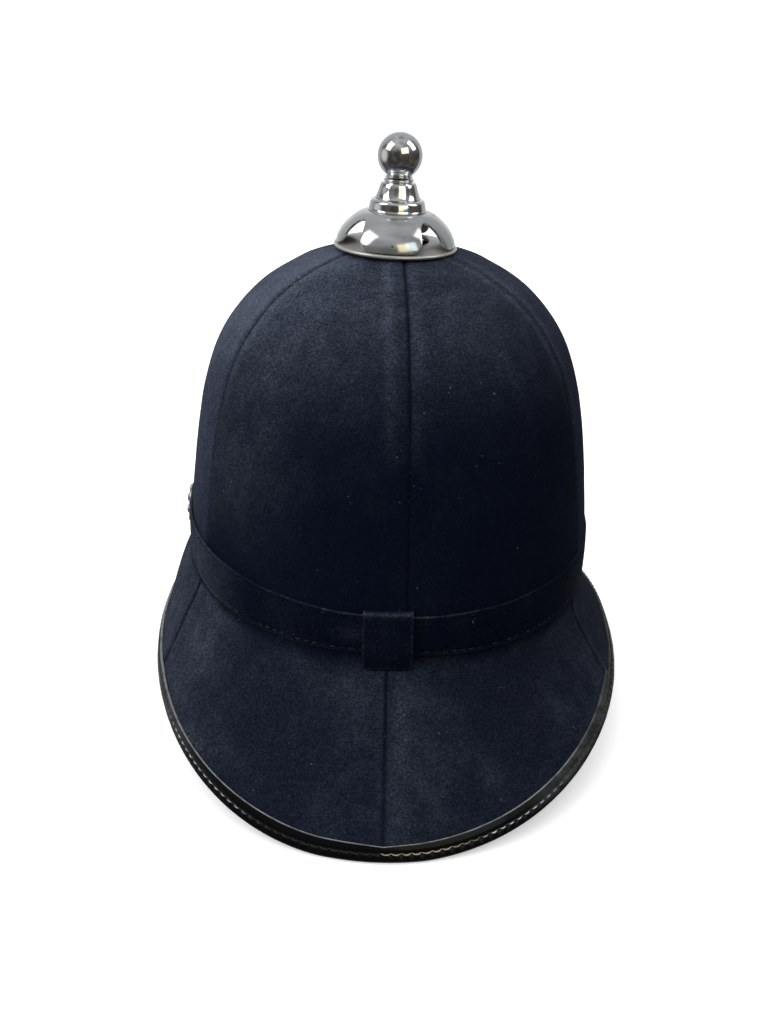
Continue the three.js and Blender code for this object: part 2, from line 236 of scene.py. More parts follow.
# The crown's seams: how deep the back one is lower down, the edge of a strip and where the strips at the
# sides show, and the worn lines past a panel's first seam and past the strip at its last one.
BACK_SEAM_LEAST = 0.35
BACK_SEAM_RISE = Ramp(1 - BACK_SEAM_LEAST, 0.115, 0.19)
STRIP_EDGE = Ramp(1, -0.7 * MM, 0.9 * MM)
SIDE_STRIP_RISE = Ramp(1, 0.15, 0.2)
FIRST_LINE = Spot(0.7, 3 * MM, 2.6 * MM)
LAST_LINE = Spot(1, 2.4 * MM, 2.2 * MM)

# A cover's unevenness: the spread of the broad and of the fine kind, and the share of each.
CROWN_STRAY = 24 * MM, 9 * MM
PEAK_STRAY = 26 * MM, 10 * MM
BROAD_SHARE, FINE_SHARE = 0.6, 0.25

# Wear of the peaks, by how far left or aside a point lies, by distance from a seam, and up from the rim,
# with painted shade just below the band.
PEAK_WEAR = 0.092
PEAK_LEFT_WEAR = Ramp(0.22, 0.55, 1)
PEAK_SIDE_WEAR = Ramp(0.07, 0.6, 0.95)
BELOW_KEEPER = Spot(0.12, -10 * MM, 24 * MM)
BELOW_KEEPER_RISE = Spot(1, 0.66, 0.14)
RIDGE_WEAR = Spot(0.12, 5 * MM, 5 * MM)
RIDGE_CLEAN = Spot(0.8, 0, 0.9 * MM)
SIDE_SEAM_CLEAN = Spot(0.9, 0, 1.1 * MM)
# Painted shade: the peaks are kept darker just below the band, as if it shaded them.
PAINTED_SHADE_BELOW_BAND = Ramp(0.8, 0.82, 0.96)

# Form of the peaks: the groove along the ridge, and the one along a side seam as a share of the crown's;
# how the ridge fades, and how all relief levels out, towards the band; the share of the rows below the
# band; and how closely the left swell and the rounder rim keep to the sides.
RIDGE_GROOVE = Spot(1 * MM, 0, 0.7 * MM)
SIDE_GROOVE = Spot(1.4, 0, 0.8 * MM)
RIDGE_FADE = 0.6
LEVEL_BELOW_BAND = Ramp(1, 0.9, 1)
SHOWN_ROWS = 0.86
SIDE_POWER = 4
ROUND_SIDE_POWER = 5

# Wear of the bindings and their stitches, with a painted reflection on the leather at the sides and painted
# glints on the stitches, by how far left or right along the rim, from -1 to 1, and by how far round the
# section.
# Painted reflection: grey on the flaps at the left and right, where the pale surroundings would mirror in
# them.
LEFT_FLAP_REFLECTION = Ramp(0.15, 0.6, 0.85)
RIGHT_FLAP_REFLECTION = Stretch(0.13, 0.36, 0.58, 0.86, 1)
FLAP_REFLECTION_FACE = Ramp(1, 0.6, 0.75)
EDGE_WEAR = Ramp(1, 0.975, 0.992)
EDGE_KEPT_RIGHT = Ramp(0.75, 0.45, 0.8)
BARE_START = -0.01
BARE_FADE = Ramp(0.8, 0.12, 0.26)
# Painted glints: pale dots on the back binding's stitches in place of highlights.
GLINT_RIGHT = Stretch(1, 0.22, 0.3, 0.4, 0.62)
GLINT_LEFT = Stretch(0.7, 0.36, 0.46, 0.72, 0.85)
GLINT_MEAN, GLINT_SWING, GLINT_SPREAD = 0.85, 0.5, 7 * MM
GLINT_DOT = 0.38

# Form of the bindings: how they narrow to the left; the reach of the groove under the stitches, the puckers
# beside it and the ripples; a flap's share of the rows, and the faces to each column of a peak; and the
# steps and the ends of the row of stitches.
BINDING_NARROWS = Ramp(1, 0.3, 0.9)
BINDING_GROOVE = 0.55 * MM
PUCKER = Spot(1, 1.1 * MM, 0.8 * MM)
RIPPLE, RIPPLE_SPREAD = 0.12 * MM, 5 * MM
FLAP_ROWS = 0.34
BINDING_FACES = 5
SEAM_STEPS, SEAM_END = 400, 0.995

# Wear of the band and a painted highlight on a fold left of the keeper, by how far left or right a point
# lies, by its angle and up from its foot.
BAND_TOP_WEAR = Spot(0.55, 1, 0.025)
BAND_TOP_SPREAD = math.radians(17)
BAND_FOOT_WEAR = Spot(0.1, 0, 0.04)
BAND_LEFT_WEAR = Ramp(0.42, 0.6, 0.95)
BAND_RIGHT_WEAR = Ramp(0.18, 0.8, 0.97)
# Painted highlight on a fold of the band, left of the keeper.
FOLD_HIGHLIGHT = Spot(0.12, -0.16, 0.06)
FOLD_HIGHLIGHT_RISE = Spot(1, 0.5, 0.2)
BAND_RUBBED_MEAN, BAND_RUBBED_SWING, BAND_RUBBED_SPREAD = 0.65, 0.8, 0.04

# The band's stitches: how bare they are at its foot and top and how far that wavers, the reach of the
# groove under them and the steps of a row.
FOOT_STITCHES_BARE, TOP_STITCHES_BARE = 0.5, -0.15
BARE_SWING, BARE_SPREAD = 1.2, 5 * MM
BAND_GROOVE = 0.6 * MM
BAND_STEPS = 720

# Wear of the keeper, across it and along its loop, then its narrower foot, its bow and its faces.
KEEPER_FOLD_WEAR = Spot(1, 0.785, 0.04)
KEEPER_LEFT_WEAR, KEEPER_RIGHT_WEAR = 0.42, 0.22
KEEPER_SIDES = Spot(0.15, 0, 0.03), Spot(0.15, 1, 0.03)
KEEPER_FOOT_SHARE = 0.82
KEEPER_FOOT = Ramp(1 - KEEPER_FOOT_SHARE, 0.1, 0.3)
KEEPER_BOW, KEEPER_BOW_SPREAD = 0.25 * MM, 0.4
KEEPER_FACES = 28, 44

# A rosette's beads, with their gap to the boss and their rise over the dome, and how flat the boss is.
BEAD, BEAD_GAP, BEAD_RISE = 0.75 * MM, 0.65 * MM, 0.2 * MM
BOSS_FLATNESS = 0.5

# Rounding of sharp edges.
LEATHER_EDGE, CLOTH_EDGE, METAL_EDGE = 0.25 * MM, 0.4 * MM, 0.3 * MM

# Windows that show only in what shines: name, place, size, power and tint.
AIM = Vector((0, 0, 0.22))
WINDOWS = (
    ("window_left", (-1.15, -0.33, 1.3), (0.75, 0.95), 7, (1, 1, 1)),
    ("window_right", (1.18, -0.12, 1.3), (0.6, 1.1), 6, (1, 1, 1)),
    ("warm_window", (0.38, -1.3, 1.0), (0.5, 0.72), 1.9, (1, 0.86, 0.52)),
    ("cool_window", (0.76, -1.04, 1.0), (0.48, 0.72), 1.9, (0.85, 0.97, 0.96)),
)
# Broad light that doesn't show there: name, place and strength.
DAYLIGHTS = (
    ("daylight_left", (-1.2, -0.2, 1.2), 2.2),
    ("daylight_right", (1.1, -0.1, 1.3), 0.4),
)
DAYLIGHT_SPREAD = math.radians(100)

# The room that the plate mirrors, and its pale sides: which way they lie, where they start and are full, as
# the cosine of the angle from there, and their tone.
ROOM_TONES = (0.045, 0.041, 0.036), (0.095, 0.085, 0.073)
CEILING_TONES = (0.24, 0.245, 0.245), (0.5, 0.51, 0.51)
UP, DOWN, AHEAD, LEFT = (0, 0, 1), (0, 0, -1), (0, 1, 0), (-1, 0, 0)
GLOWS = (
    (DOWN, 0.65, 0.85, (0.46, 0.45, 0.42)),
    (AHEAD, 0.3, 0.6, (0.42, 0.44, 0.45)),
    (AHEAD, 0.75, 0.98, (0.8, 0.82, 0.83)),
    (LEFT, 0.87, 0.985, (0.62, 0.63, 0.64)),
)


def length(name, description, millimetres):
    """A size in metres, given in millimetres."""
    return FloatProperty(
        name=name, description=description, default=millimetres * MM, unit="LENGTH", precision=5)


def share(name, description, default):
    """A plain number."""
    return FloatProperty(name=name, description=description, default=default)


def angle(name, description, degrees):
    """An angle, given in degrees."""
    return FloatProperty(
        name=name, description=description, default=math.radians(degrees), unit="ROTATION")


def count(name, description, default):
    """A whole number."""
    return IntProperty(name=name, description=description, default=default)


def colour(name, description, default):
    """A linear colour."""
    return FloatVectorProperty(
        name=name, description=description, default=default, subtype="COLOR", min=0, max=1)


class CrownSizes(PropertyGroup):
    """Sizes of the crown's panels."""

    wall: length("Wall", "Thickness of a panel", 3)
    turn: angle("Turn", "How far the cover is turned on the brim", 3.2)
    back_seam_shift: length("Back seam shift", "How far the back seam lies to the right", 2.2)
    seam_dip: length("Seam dip", "Depth of the groove along a seam", 0.9)
    seam_roll: length("Seam roll", "How far the cloth rolls into a seam", 0.9)
    strip_width: length("Strip width", "Width of the turned-in cloth beside the back seam", 5.6)
    side_strip_width: length("Side strip width", "The same beside the other seams", 3.2)
    strip_rise: length("Strip rise", "How far that cloth lifts the cover", 0.35)
    unevenness: length("Unevenness", "How far the cover strays from a smooth form", 0.3)
    columns: count("Columns", "Faces across a panel", 56)
    rows: count("Rows", "Faces up a panel", 84)


class PeakSizes(PropertyGroup):
    """Sizes of the two peaks."""

    wall: length("Wall", "Thickness of a peak", 2.4)
    knee_below_band: length("Knee", "Where the flare starts below the band", 0.3)
    knee_pinch_share: share("Knee pinch share", "How far the flare ignores the keeper's pinch", 0.4)
    turn_drop: length("Turn drop", "How far down the flare turns out", 10)
    left_turn_rise: length("Left turn rise", "How much sooner it turns out on the left", 8)
    left_swell: length("Left swell", "How far it swells out there", 5.5)
    straight_share: share("Straight share", "How straight the flare runs to the rim", 0.4)
    rim_half_width: length("Rim half width", "Half of the rim's width", 113.2)
    back_reach: length("Back reach", "From the axis to the back rim", 158)
    front_reach: length("Front reach", "From the axis to the front rim", 151)
    rim_power: share("Rim power", "How square the rim is, where 2 is an ellipse", 2.32)
    round_power: share("Round power", "The same at the left of the back and right of the front", 2.18)
    edge_height: length("Edge height", "Height of the edge where the rim rests", 1.7)
    side_lift: length("Side lift", "How far the rim rises at the sides", 27)
    lift_power: share("Lift power", "How late the rim rises", 1.5)
    flat_share: share("Flat share", "Share of the rim's width that rests", 0.18)
    back_right_flat_share: share("Back right flat share", "The same at the right of the back", 0.1)
    point: length("Point", "How far the back rim comes to a point", 1.9)
    point_reach: length("Point reach", "How far the point spreads", 26)
    root_height: length("Root height", "Height of the hidden upper edge", 79.7)
    ridge: length("Ridge", "How far the middle seam stands out at the back", 1.1)
    ridge_reach: length("Ridge reach", "How far the ridge spreads", 14)
    rows: count("Rows", "Faces from the rim to the band", 60)


class BindingSizes(PropertyGroup):
    """Sizes of the leather bindings and their stitches."""

    leather: length("Leather", "Thickness of the leather", 1)
    gap: length("Gap", "Room between the leather and the peak", 0.3)
    width: length("Width", "Width on each face of the back peak", 6.5)
    front_width: length("Front width", "Width on the outer face of the front peak", 4)
    left_share: share("Left share", "Share of its width that it keeps at the left of the back", 0.68)
    point_draw: length("Point draw", "How much narrower it is at the back's point", 1.4)
    point_reach: length("Point reach", "How far it narrows towards that point", 13)
    pucker: length("Pucker", "How far the leather puffs up along the stitches", 0.3)
    seam_inset: length("Seam inset", "From the rim to the row of stitches", 2.6)
    seam_groove: length("Seam groove", "Depth of the groove under the stitches", 0.3)
    pitch: length("Pitch", "From stitch to stitch", 4.2)
    stitch: length("Stitch", "Length of a stitch", 4.3)
    thread: length("Thread", "Radius of the thread", 0.34)
    sag: length("Sag", "How far a stitch bows towards the rim", 0.8)
    rows: count("Rows", "Faces round the section", 36)


class BandSizes(PropertyGroup):
    """Sizes of the band, its stitches and its keeper."""

    width: length("Width", "Height of the band", 22)
    pinch: length("Pinch", "How far the keeper gathers the band", 5.4)
    pinch_spread: angle("Pinch spread", "How far round the band is gathered", 30)
    cloth: length("Cloth", "Thickness of the band", 1)
    gap: length("Gap", "Room between the band and the crown", 0.15)
    crowning: length("Crowning", "How far the middle of the band stands out", 0.3)
    top: length("Top", "Height of the upper edge at the back", 89.9)
    side_rise: length("Side rise", "How far the band rises at the sides", 1.4)
    tilt: length("Tilt", "How far the band drops on the right and rises on the left", 3.3)
    wave: length("Wave", "How far its edges waver", 0.35)
    stitch_inset: length("Stitch inset", "From an edge to its row of stitches", 1.9)
    stitch_groove: length("Stitch groove", "Depth of the groove under the stitches", 0.22)
    pitch: length("Pitch", "From stitch to stitch", 4)
    stitch: length("Stitch", "Length of a stitch", 2.7)
    thread: length("Thread", "Radius of the thread", 0.2)
    columns: count("Columns", "Faces round the band", 320)
    rows: count("Rows", "Faces across the band", 24)
    keeper_width: length("Keeper width", "Width of the keeper", 20)
    keeper_cloth: length("Keeper cloth", "Thickness of the keeper", 1.4)


class RosetteSizes(PropertyGroup):
    """Sizes of the side rosettes."""

    place: angle("Place", "Angle from the back to a rosette", 96)
    radius: length("Radius", "Half of a rosette's width", 11)
    rim: length("Rim", "Thickness of the rim", 1)
    dome: length("Dome", "Height of the domed middle", 1.6)
    petal_length: length("Petal length", "Half of a petal's length", 2.9)
    petal_width: length("Petal width", "Half of a petal's width", 2.5)
    petal_rise: length("Petal rise", "Half of a petal's height", 1.3)
    petal_circle: length("Petal circle", "From the middle to a petal", 7.2)
    petals: count("Petals", "Petals in the ring", 8)
    boss: length("Boss", "Radius of the middle boss", 3.2)


class VentSizes(PropertyGroup):
    """Sizes of the vent, the collar, the stem and the ball."""

    foot: length("Foot", "Height of the vent's foot", 215.4)
    lean: angle("Lean", "How far the vent leans to the right", 1.6)
    twist: angle("Twist", "How far the vent is turned on the cover", -9)
    sheet: length("Sheet", "Thickness of the dome's metal", 1.2)
    legs: count("Legs", "Legs of the dome", 4)
    arch_half_width: length("Arch half width", "Half of an opening's width at its foot", 6.3)
    arch_height: length("Arch height", "Height of an opening", 13)
    arch_foot: length("Arch foot", "Where an opening's arch starts", 1.6)
    corner: length("Corner", "Radius of a leg's lower corners", 5)
    ball_radius: length("Ball radius", "Radius of the ball", 10.05)
    ball_height: length("Ball height", "Height of the ball's middle", 40.7)
    neck_radius: length("Neck radius", "Radius of the neck under the ball", 5.6)
    steps: count("Steps", "Faces round a turned piece", 96)


class Colours(PropertyGroup):
    """Colours of the cloth, leather, thread and metal."""

    cloth: colour("Cloth", "Clean navy cloth", (0.0031, 0.0056, 0.0147))
    # Also the tone towards which painted light pales the cloth.
    dust_and_light_tone: colour("Dust", "Worn and dusty cloth", (0.078, 0.092, 0.126))
    faded: colour("Faded", "Faded cloth of the side panels", (0.0148, 0.018, 0.036))
    lint: colour("Lint", "Lint on the cloth", (0.32, 0.32, 0.34))
    lining: colour("Lining", "Inside of the crown and peaks", (0.012, 0.011, 0.011))
    leather: colour("Leather", "Black patent leather", (0.0028, 0.0032, 0.0036))
    # Also the grey of the painted reflection on the bindings' flaps at the sides.
    scuffed_and_reflected: colour("Scuffed", "Leather scuffed at its edges", (0.28, 0.29, 0.29))
    thread: colour("Thread", "Black waxed thread", (0.012, 0.012, 0.013))
    bare_thread: colour("Bare thread", "Thread that has lost its black", (0.42, 0.36, 0.25))
    # Colour of the painted glints on the binding's stitches.
    glint_thread: colour("Rubbed thread", "Thread rubbed bright", (0.8, 0.85, 0.9))
    band_thread: colour("Band thread", "Thread on the band", (0.045, 0.051, 0.066))
    plate: colour("Plate", "Bright plated metal", (0.52, 0.53, 0.54))
    dull_plate: colour("Dull plate", "Duller plated metal", (0.5, 0.49, 0.46))
    vent_inside: colour("Vent inside", "Dulled inside of the vent", (0.32, 0.32, 0.31))
    tarnish: colour("Tarnish", "Spots in the plate", (0.12, 0.1, 0.08))
    floor: colour("Floor", "Pale floor", (0.95, 0.95, 0.95))


class StageSizes(PropertyGroup):
    """The camera, the floor and the light."""

    camera: FloatVectorProperty(
        name="Camera", description="Where the camera stands", subtype="XYZ", unit="LENGTH",
        default=(-0.00474, -0.51643, 0.32374))
    tilt: angle("Tilt", "How far the camera looks down", 24.82)
    turn: angle("Turn", "How far the camera is turned to the left", -0.28)
    roll: angle("Roll", "How far the camera is rolled", 1.376)
    lens: FloatProperty(name="Lens", description="Focal length", default=40.02, unit="CAMERA")
    floor: FloatProperty(
        name="Floor", description="Half of the floor's width", default=60, unit="LENGTH")


def through(rows, at):
    """A smooth curve through rows of numbers, where at runs from 0 to 1."""
    spans = len(rows) - 1
    place = min(max(at, 0.0), 1.0) * spans
    first = min(int(place), spans - 1)
    t = place - first
    near = [rows[min(max(first + step, 0), spans)] for step in (-1, 0, 1, 2)]
    result = []
    for before, start, end, after in zip(*near):
        leave, arrive = (end - before) / 2, (after - start) / 2
        cubic = 2 * start - 2 * end + leave + arrive
        square = 3 * end - 3 * start - 2 * leave - arrive
        result.append(((cubic * t + square) * t + leave) * t + start)
    return result


def outward(surface, up, around):
    """Outward direction of a surface that runs up and round."""
    rise = surface(up + TINY, around) - surface(up - TINY, around)
    turn = surface(up, around + TINY) - surface(up, around - TINY)
    return turn.cross(rise).normalized()


def waver(point, wavelength):
    """A smooth random number from about -1 to 1 that belongs to a place."""
    return noise.noise(point / wavelength)


def stray(point, spreads):
    """How far a cover strays from a smooth form here, as a share of its unevenness."""
    broad, fine = spreads
    return waver(point, broad) * BROAD_SHARE + waver(point, fine) * FINE_SHARE


def gathered(across):
    """Runs from 0 to 1 like its argument, with more steps near both ends."""
    return across - 0.13 * math.sin(math.tau * across)


def crown_point(up, around):
    height, half_width, ratio = through(CROWN_SECTIONS, up)
    across = half_width * math.sin(around)
    along = -half_width * ratio * math.cos(around)
    return AXIS + Vector((across, along, height)) * MM


def foot_point(around, height, standoff):
    """A point at the foot of the crown, moved out by a standoff."""
    foot = CROWN_SECTIONS[0]
    half_width = foot.half_width * MM + standoff
    half_length = foot.half_width * foot.length_ratio * MM + standoff
    return AXIS + Vector((half_width * math.sin(around), -half_length * math.cos(around), height))


def from_back(around):
    """The angle from the back, to either side."""
    return math.acos(math.cos(around))


def band_width(around, band):
    """Height of the band, which the keeper gathers at the back."""
    return band.width - band.pinch * math.exp(-from_back(around) / band.pinch_spread)


def band_foot(around, band):
    """Height of the band's lower edge."""
    top = band.top + band.side_rise * math.sin(around) ** 2 - band.tilt * math.sin(around)
    return top - band_width(around, band)


def rim_point(around, peak):
    """The edge of the peaks: a superellipse that rests at both ends, with a slight point at the back."""
    across, along = math.sin(around), -math.cos(around)
    squareness = peak.rim_power
    if along * across > 0:
        squareness = lerp(peak.rim_power, peak.round_power, abs(across) ** ROUND_SIDE_POWER)
    power = 2 / squareness
    aside = peak.rim_half_width * abs(across) ** power
    reach, flat = peak.front_reach, peak.flat_share
    if along < 0:
        reach = peak.back_reach + peak.point * hump(aside, peak.point_reach)
        flat = peak.back_right_flat_share if across > 0 else flat
    lift = max(0.0, (abs(across) - flat) / (1 - flat))
    return AXIS + Vector((
        math.copysign(aside, across),
        math.copysign(reach * abs(along) ** power, along),
        peak.edge_height + peak.side_lift * lift ** peak.lift_power,
    ))


def peak_surface(which, peak, band):
    """The outer face of a peak: up from 0 at the rim to 1 at the knee and 2 at the hidden root."""

    def surface(up, around):
        root = math.radians(which.middle + around * which.root_half_angle)
        pinch = (band.width - band_width(root, band)) * peak.knee_pinch_share
        knee_height = band_foot(root, band) - peak.knee_below_band - pinch
        knee = foot_point(root, knee_height, 0)
        if up > 1:
            return knee.lerp(foot_point(root, peak.root_height, 0), up - 1)
        rim = rim_point(math.radians(which.middle + around * which.rim_half_angle), peak)
        leftward = max(0.0, -math.sin(root)) ** SIDE_POWER
        turn_height = knee_height - peak.turn_drop + peak.left_turn_rise * leftward
        turn = foot_point(root, turn_height, peak.left_swell * leftward ** 2)
        straight = rim.lerp(turn, peak.straight_share)
        rest = 1 - up
        return (rim * rest ** 3 + straight * (3 * rest * rest * up)
                + turn * (3 * rest * up * up) + knee * up ** 3)

    return surface


class Wire:
    """A socket in a finish's node tree. Arithmetic on it adds Math nodes."""

    def __init__(self, finish, socket):
        self.finish = finish
        self.socket = socket

    def math(self, operation, *values):
        return self.finish.node("ShaderNodeMath", {"operation": operation}, dict(enumerate(values)))

    def __add__(self, other):
        return self.math("ADD", self, other)

    def __sub__(self, other):
        return self.math("SUBTRACT", self, other)

    def __rsub__(self, other):
        return self.math("SUBTRACT", other, self)

    def __mul__(self, other):
        return self.math("MULTIPLY", self, other)

    __radd__ = __add__
    __rmul__ = __mul__


def solid(value):
    """A colour with its alpha, or a wire as it is."""
    return value if isinstance(value, Wire) else (*value, 1.0)


class Finish:
    """A material, or the world's light, under construction."""

    def __init__(self, name, tree=None):
        self.material = None
        if tree is None:
            self.material = bpy.data.materials.new(name)
            self.material.use_nodes = True
            tree = self.material.node_tree
        self.tree = tree
        self.tree.nodes.clear()

    def node(self, kind, settings=None, inputs=None, output=0):
        """Adds a node, with its settings first and then its inputs, and gives one of its outputs."""
        node = self.tree.nodes.new(kind)
        for name, value in (settings or {}).items():
            setattr(node, name, value)
        for name, value in (inputs or {}).items():
            socket = node.inputs[name]
            if isinstance(value, Wire):
                self.tree.links.new(value.socket, socket)
            else:
                socket.default_value = value
        return Wire(self, node.outputs[output]) if node.outputs else None

    def place(self):
        return self.node("ShaderNodeTexCoord", output="Object")

    def mark(self, name):
        """A number that the mesh holds at each point."""
        return self.node("ShaderNodeAttribute", {"attribute_name": name}, output="Fac")

    def noise(self, wavelength, detail=2.0, roughness=0.5, place=None):
        """Soft noise from 0 to 1 whose features are about a wavelength apart."""
        inputs = {"Vector": place or self.place(), "Scale": 1 / wavelength,
                  "Detail": detail, "Roughness": roughness}
        return self.node("ShaderNodeTexNoise", None, inputs)

    def between(self, value, low, high, first=0.0, last=1.0):
        """A smooth step from first to last as a value runs from low to high."""
        inputs = {"Value": value, "From Min": low, "From Max": high, "To Min": first, "To Max": last}
        return self.node("ShaderNodeMapRange", {"interpolation_type": "SMOOTHSTEP"}, inputs)

    def swing(self, value, amount, reach=0.2):
        """A factor that swings by an amount to both sides of 1 as noise swings about its middle."""
        return self.between(value, 0.5 - reach, 0.5 + reach, 1 - amount, 1 + amount)

    def mix(self, factor, first, last):
        inputs = {0: factor, 6: solid(first), 7: solid(last)}
        return self.node("ShaderNodeMix", {"data_type": "RGBA"}, inputs, 2)

    def scaled(self, tone, factor):
        """A colour times a number."""
        return self.node("ShaderNodeVectorMath", {"operation": "SCALE"}, {0: tone, "Scale": factor})

    def stretched(self, scale):
        inputs = {"Vector": self.place(), "Scale": scale}
        return self.node("ShaderNodeMapping", None, inputs)

    def bump(self, height, depth, strength=1.0):
        inputs = {"Height": height, "Distance": depth, "Strength": strength}
        return self.node("ShaderNodeBump", None, inputs, "Normal")

    def surface(self, **inputs):
        """Ends the material with a shader. Underscores in names stand for spaces."""
        named = {name.replace("_", " "): value for name, value in inputs.items()}
        shader = self.node("ShaderNodeBsdfPrincipled", None, named)
        self.node("ShaderNodeOutputMaterial", None, {"Surface": shader})
        return self.material


def cloth_finish(name, base, colours, dusting, linty=0.0):
    """Felted wool: finely napped and mottled, grey with dirt where use has aged it, paler where light is
    painted on and darker where shade is painted, with specks of lint.
    """
    finish = Finish(name)
    nap = finish.noise(1.1 * MM, 3, 0.7)
    fuzz = finish.noise(0.55 * MM, 2, 0.6)
    flecks = finish.noise(3.2 * MM, 2, 0.6)
    blotches = finish.noise(9 * MM, 3, 0.6)
    patches = finish.noise(36 * MM, 4, 0.6)
    # The mark holds the cloth's dustiness, with painted light and painted shade mixed in.
    worn_and_painted_light = finish.mark("wear_and_painted_light") * finish.swing(patches, 0.25)
    mottle = finish.swing(flecks, 0.1) * finish.swing(blotches, 0.13)
    grain = finish.swing(nap, 0.6, 0.25) * finish.swing(fuzz, 0.35)
    dust_and_painted_light = (worn_and_painted_light + finish.between(patches, 0.46, 0.75) * dusting) * grain * mottle
    clean = finish.scaled(base, finish.swing(fuzz, 0.35) * finish.swing(nap, 0.2, 0.25))
    tone = finish.mix(dust_and_painted_light, clean, colours.dust_and_light_tone)
    specks = finish.between(finish.noise(1.0 * MM, 0.0), 0.8, 0.86)
    scattered = finish.between(finish.noise(13 * MM, 1.0), 0.56, 0.7)
    crumbs = finish.between(finish.noise(0.7 * MM, 0.0), 0.78, 0.84)
    linted = finish.mix(specks * scattered * 0.5 + crumbs * (worn_and_painted_light * 0.7 + linty), tone, colours.lint)
    relief = nap * 0.6 + fuzz * 0.4 + flecks * 0.5
    return finish.surface(
        Base_Color=linted, Roughness=0.92, Specular_IOR_Level=0.03, Sheen_Weight=0.01,
        Sheen_Roughness=0.45, Sheen_Tint=(0.6, 0.68, 0.85, 1),
        Normal=finish.bump(relief, 0.35 * MM, 0.8))


def lining_finish(colours):
    """Plain dark inside."""
    finish = Finish("lining")
    weave = finish.noise(1.1 * MM, 3, 0.6)
    tone = finish.mix(weave, colours.lining, [value * 1.9 for value in colours.lining])
    return finish.surface(Base_Color=tone, Roughness=0.85, Specular_IOR_Level=0.15,
                          Normal=finish.bump(weave, 0.2 * MM, 0.6))


def leather_finish(colours):
    """Black patent leather: glossy, finely creased, paler where its edges are chafed, and greyed at the
    sides by a painted reflection.
    """
    finish = Finish("binding_leather")
    creases = finish.noise(2.4 * MM, 4, 0.6)
    grain = finish.noise(0.7 * MM, 2, 0.5)
    # The mark holds chafed edges and the painted reflection on the flaps at the sides.
    scuffs_and_reflection = finish.mark("wear_and_painted_light") * finish.between(finish.noise(6 * MM, 3, 0.65), 0.3, 0.6, 0.5, 1.2)
    tone = finish.mix(scuffs_and_reflection, colours.leather, colours.scuffed_and_reflected)
    gloss = 0.15 + creases * 0.12 + scuffs_and_reflection * 0.5
    return finish.surface(
        Base_Color=tone, Roughness=gloss, Specular_IOR_Level=0.12,
        Normal=finish.bump(creases * 0.7 + grain * 0.3, 0.25 * MM, 0.4))


def thread_finish(name, colours, base, bare, roughness, gloss):
    """Twisted thread, bare where it has lost its colour and pale where a glint is painted on."""
    finish = Finish(name)
    twist = finish.noise(0.6 * MM, 2, 0.5)
    lost = finish.mark("bare") * finish.between(finish.noise(3 * MM, 2, 0.5), 0.28, 0.5, 0.35, 1)
    # The glint mark paints pale dots on the thread.
    tone = finish.mix(finish.mark("rubbed_and_glint"), finish.mix(lost, base, bare), colours.glint_thread)
    return finish.surface(Base_Color=tone, Roughness=roughness, Specular_IOR_Level=gloss,
                          Normal=finish.bump(twist, 0.15 * MM, 0.6))


def plate_finish(name, base, colours, roughness, clean=1.0):
    """Plated metal: fine scratches, smears and a few pits, under a film of haze where it isn't clean."""
    finish = Finish(name)
    smears = finish.noise(7 * MM, 3, 0.55)
    scratches = finish.noise(1.0, 3, 0.6, finish.stretched((700, 700, 90)))
    pits = finish.between(finish.noise(2.6 * MM, 1, 0.4), 0.74, 0.8)
    tone = finish.mix(pits, base, colours.tarnish)
    polish = roughness + smears * 0.05 + finish.between(scratches, 0.58, 0.75) * 0.06 + pits * 0.3
    return finish.surface(
        Base_Color=tone, Metallic=clean, Roughness=polish,
        Normal=finish.bump(scratches * 0.15 + smears * 0.2 - pits, 0.05 * MM, 0.35))


def floor_finish(colours):
    """Pale matt floor."""
    finish = Finish("floor")
    tone = finish.noise(0.4, 2, 0.5)
    pale = finish.mix(tone, colours.floor, [value * 0.99 for value in colours.floor])
    return finish.surface(Base_Color=pale, Roughness=0.9, Specular_IOR_Level=0.1,
                          Emission_Color=(1, 1, 1, 1), Emission_Strength=0.42)


def lofted(columns, rows, place):
    """A grid whose points a function of (across, up) places and marks with their weathering and painted
    light.
    """
    bm = bmesh.new()
    bm.loops.layers.uv.new("UVMap")
    wear_and_painted_light = bm.verts.layers.float.new("wear_and_painted_light")
    bmesh.ops.create_grid(bm, x_segments=columns, y_segments=rows, size=0.5, calc_uvs=True)
    for vert in bm.verts:
        vert.co, vert[wear_and_painted_light] = place(vert.co.x + 0.5, vert.co.y + 0.5)
    return bm


def spun(profile, steps):
    """A turned piece from a closed or axis-to-axis profile, about the Z axis."""
    bm = bmesh.new()
    bm.verts.layers.float.new("wear_and_painted_light")
    points = [bm.verts.new((point.radius * MM, 0, point.height * MM)) for point in profile]
    ends = list(zip(points, points[1:]))
    if profile[0].radius > 0:
        ends.append((points[-1], points[0]))
    edges = [bm.edges.new(pair) for pair in ends]
    bmesh.ops.spin(bm, geom=points + edges, cent=(0, 0, 0), axis=(0, 0, 1),
                   angle=math.tau, steps=steps, use_merge=True)
    bmesh.ops.remove_doubles(bm, verts=bm.verts, dist=TINY * MM)
    bmesh.ops.recalc_face_normals(bm, faces=bm.faces)
    return bm


def join(bm, part):
    """Adds one bmesh to another and frees it."""
    mesh = bpy.data.meshes.new("part")
    part.to_mesh(mesh)
    part.free()
    bm.from_mesh(mesh)
    bpy.data.meshes.remove(mesh)


def lump(u_segments, v_segments, matrix):
    """A ball under a transform."""
    bm = bmesh.new()
    bmesh.ops.create_uvsphere(
        bm, u_segments=u_segments, v_segments=v_segments, radius=1, matrix=matrix)
    return bm


def add_object(bm, name, finishes):
    """Makes a bmesh an object with its finishes."""
    mesh = bpy.data.meshes.new(name)
    bm.to_mesh(mesh)
    bm.free()
    for finish in finishes:
        mesh.materials.append(finish)
    made = bpy.data.objects.new(name, mesh)
    bpy.context.scene.collection.objects.link(made)
    return made


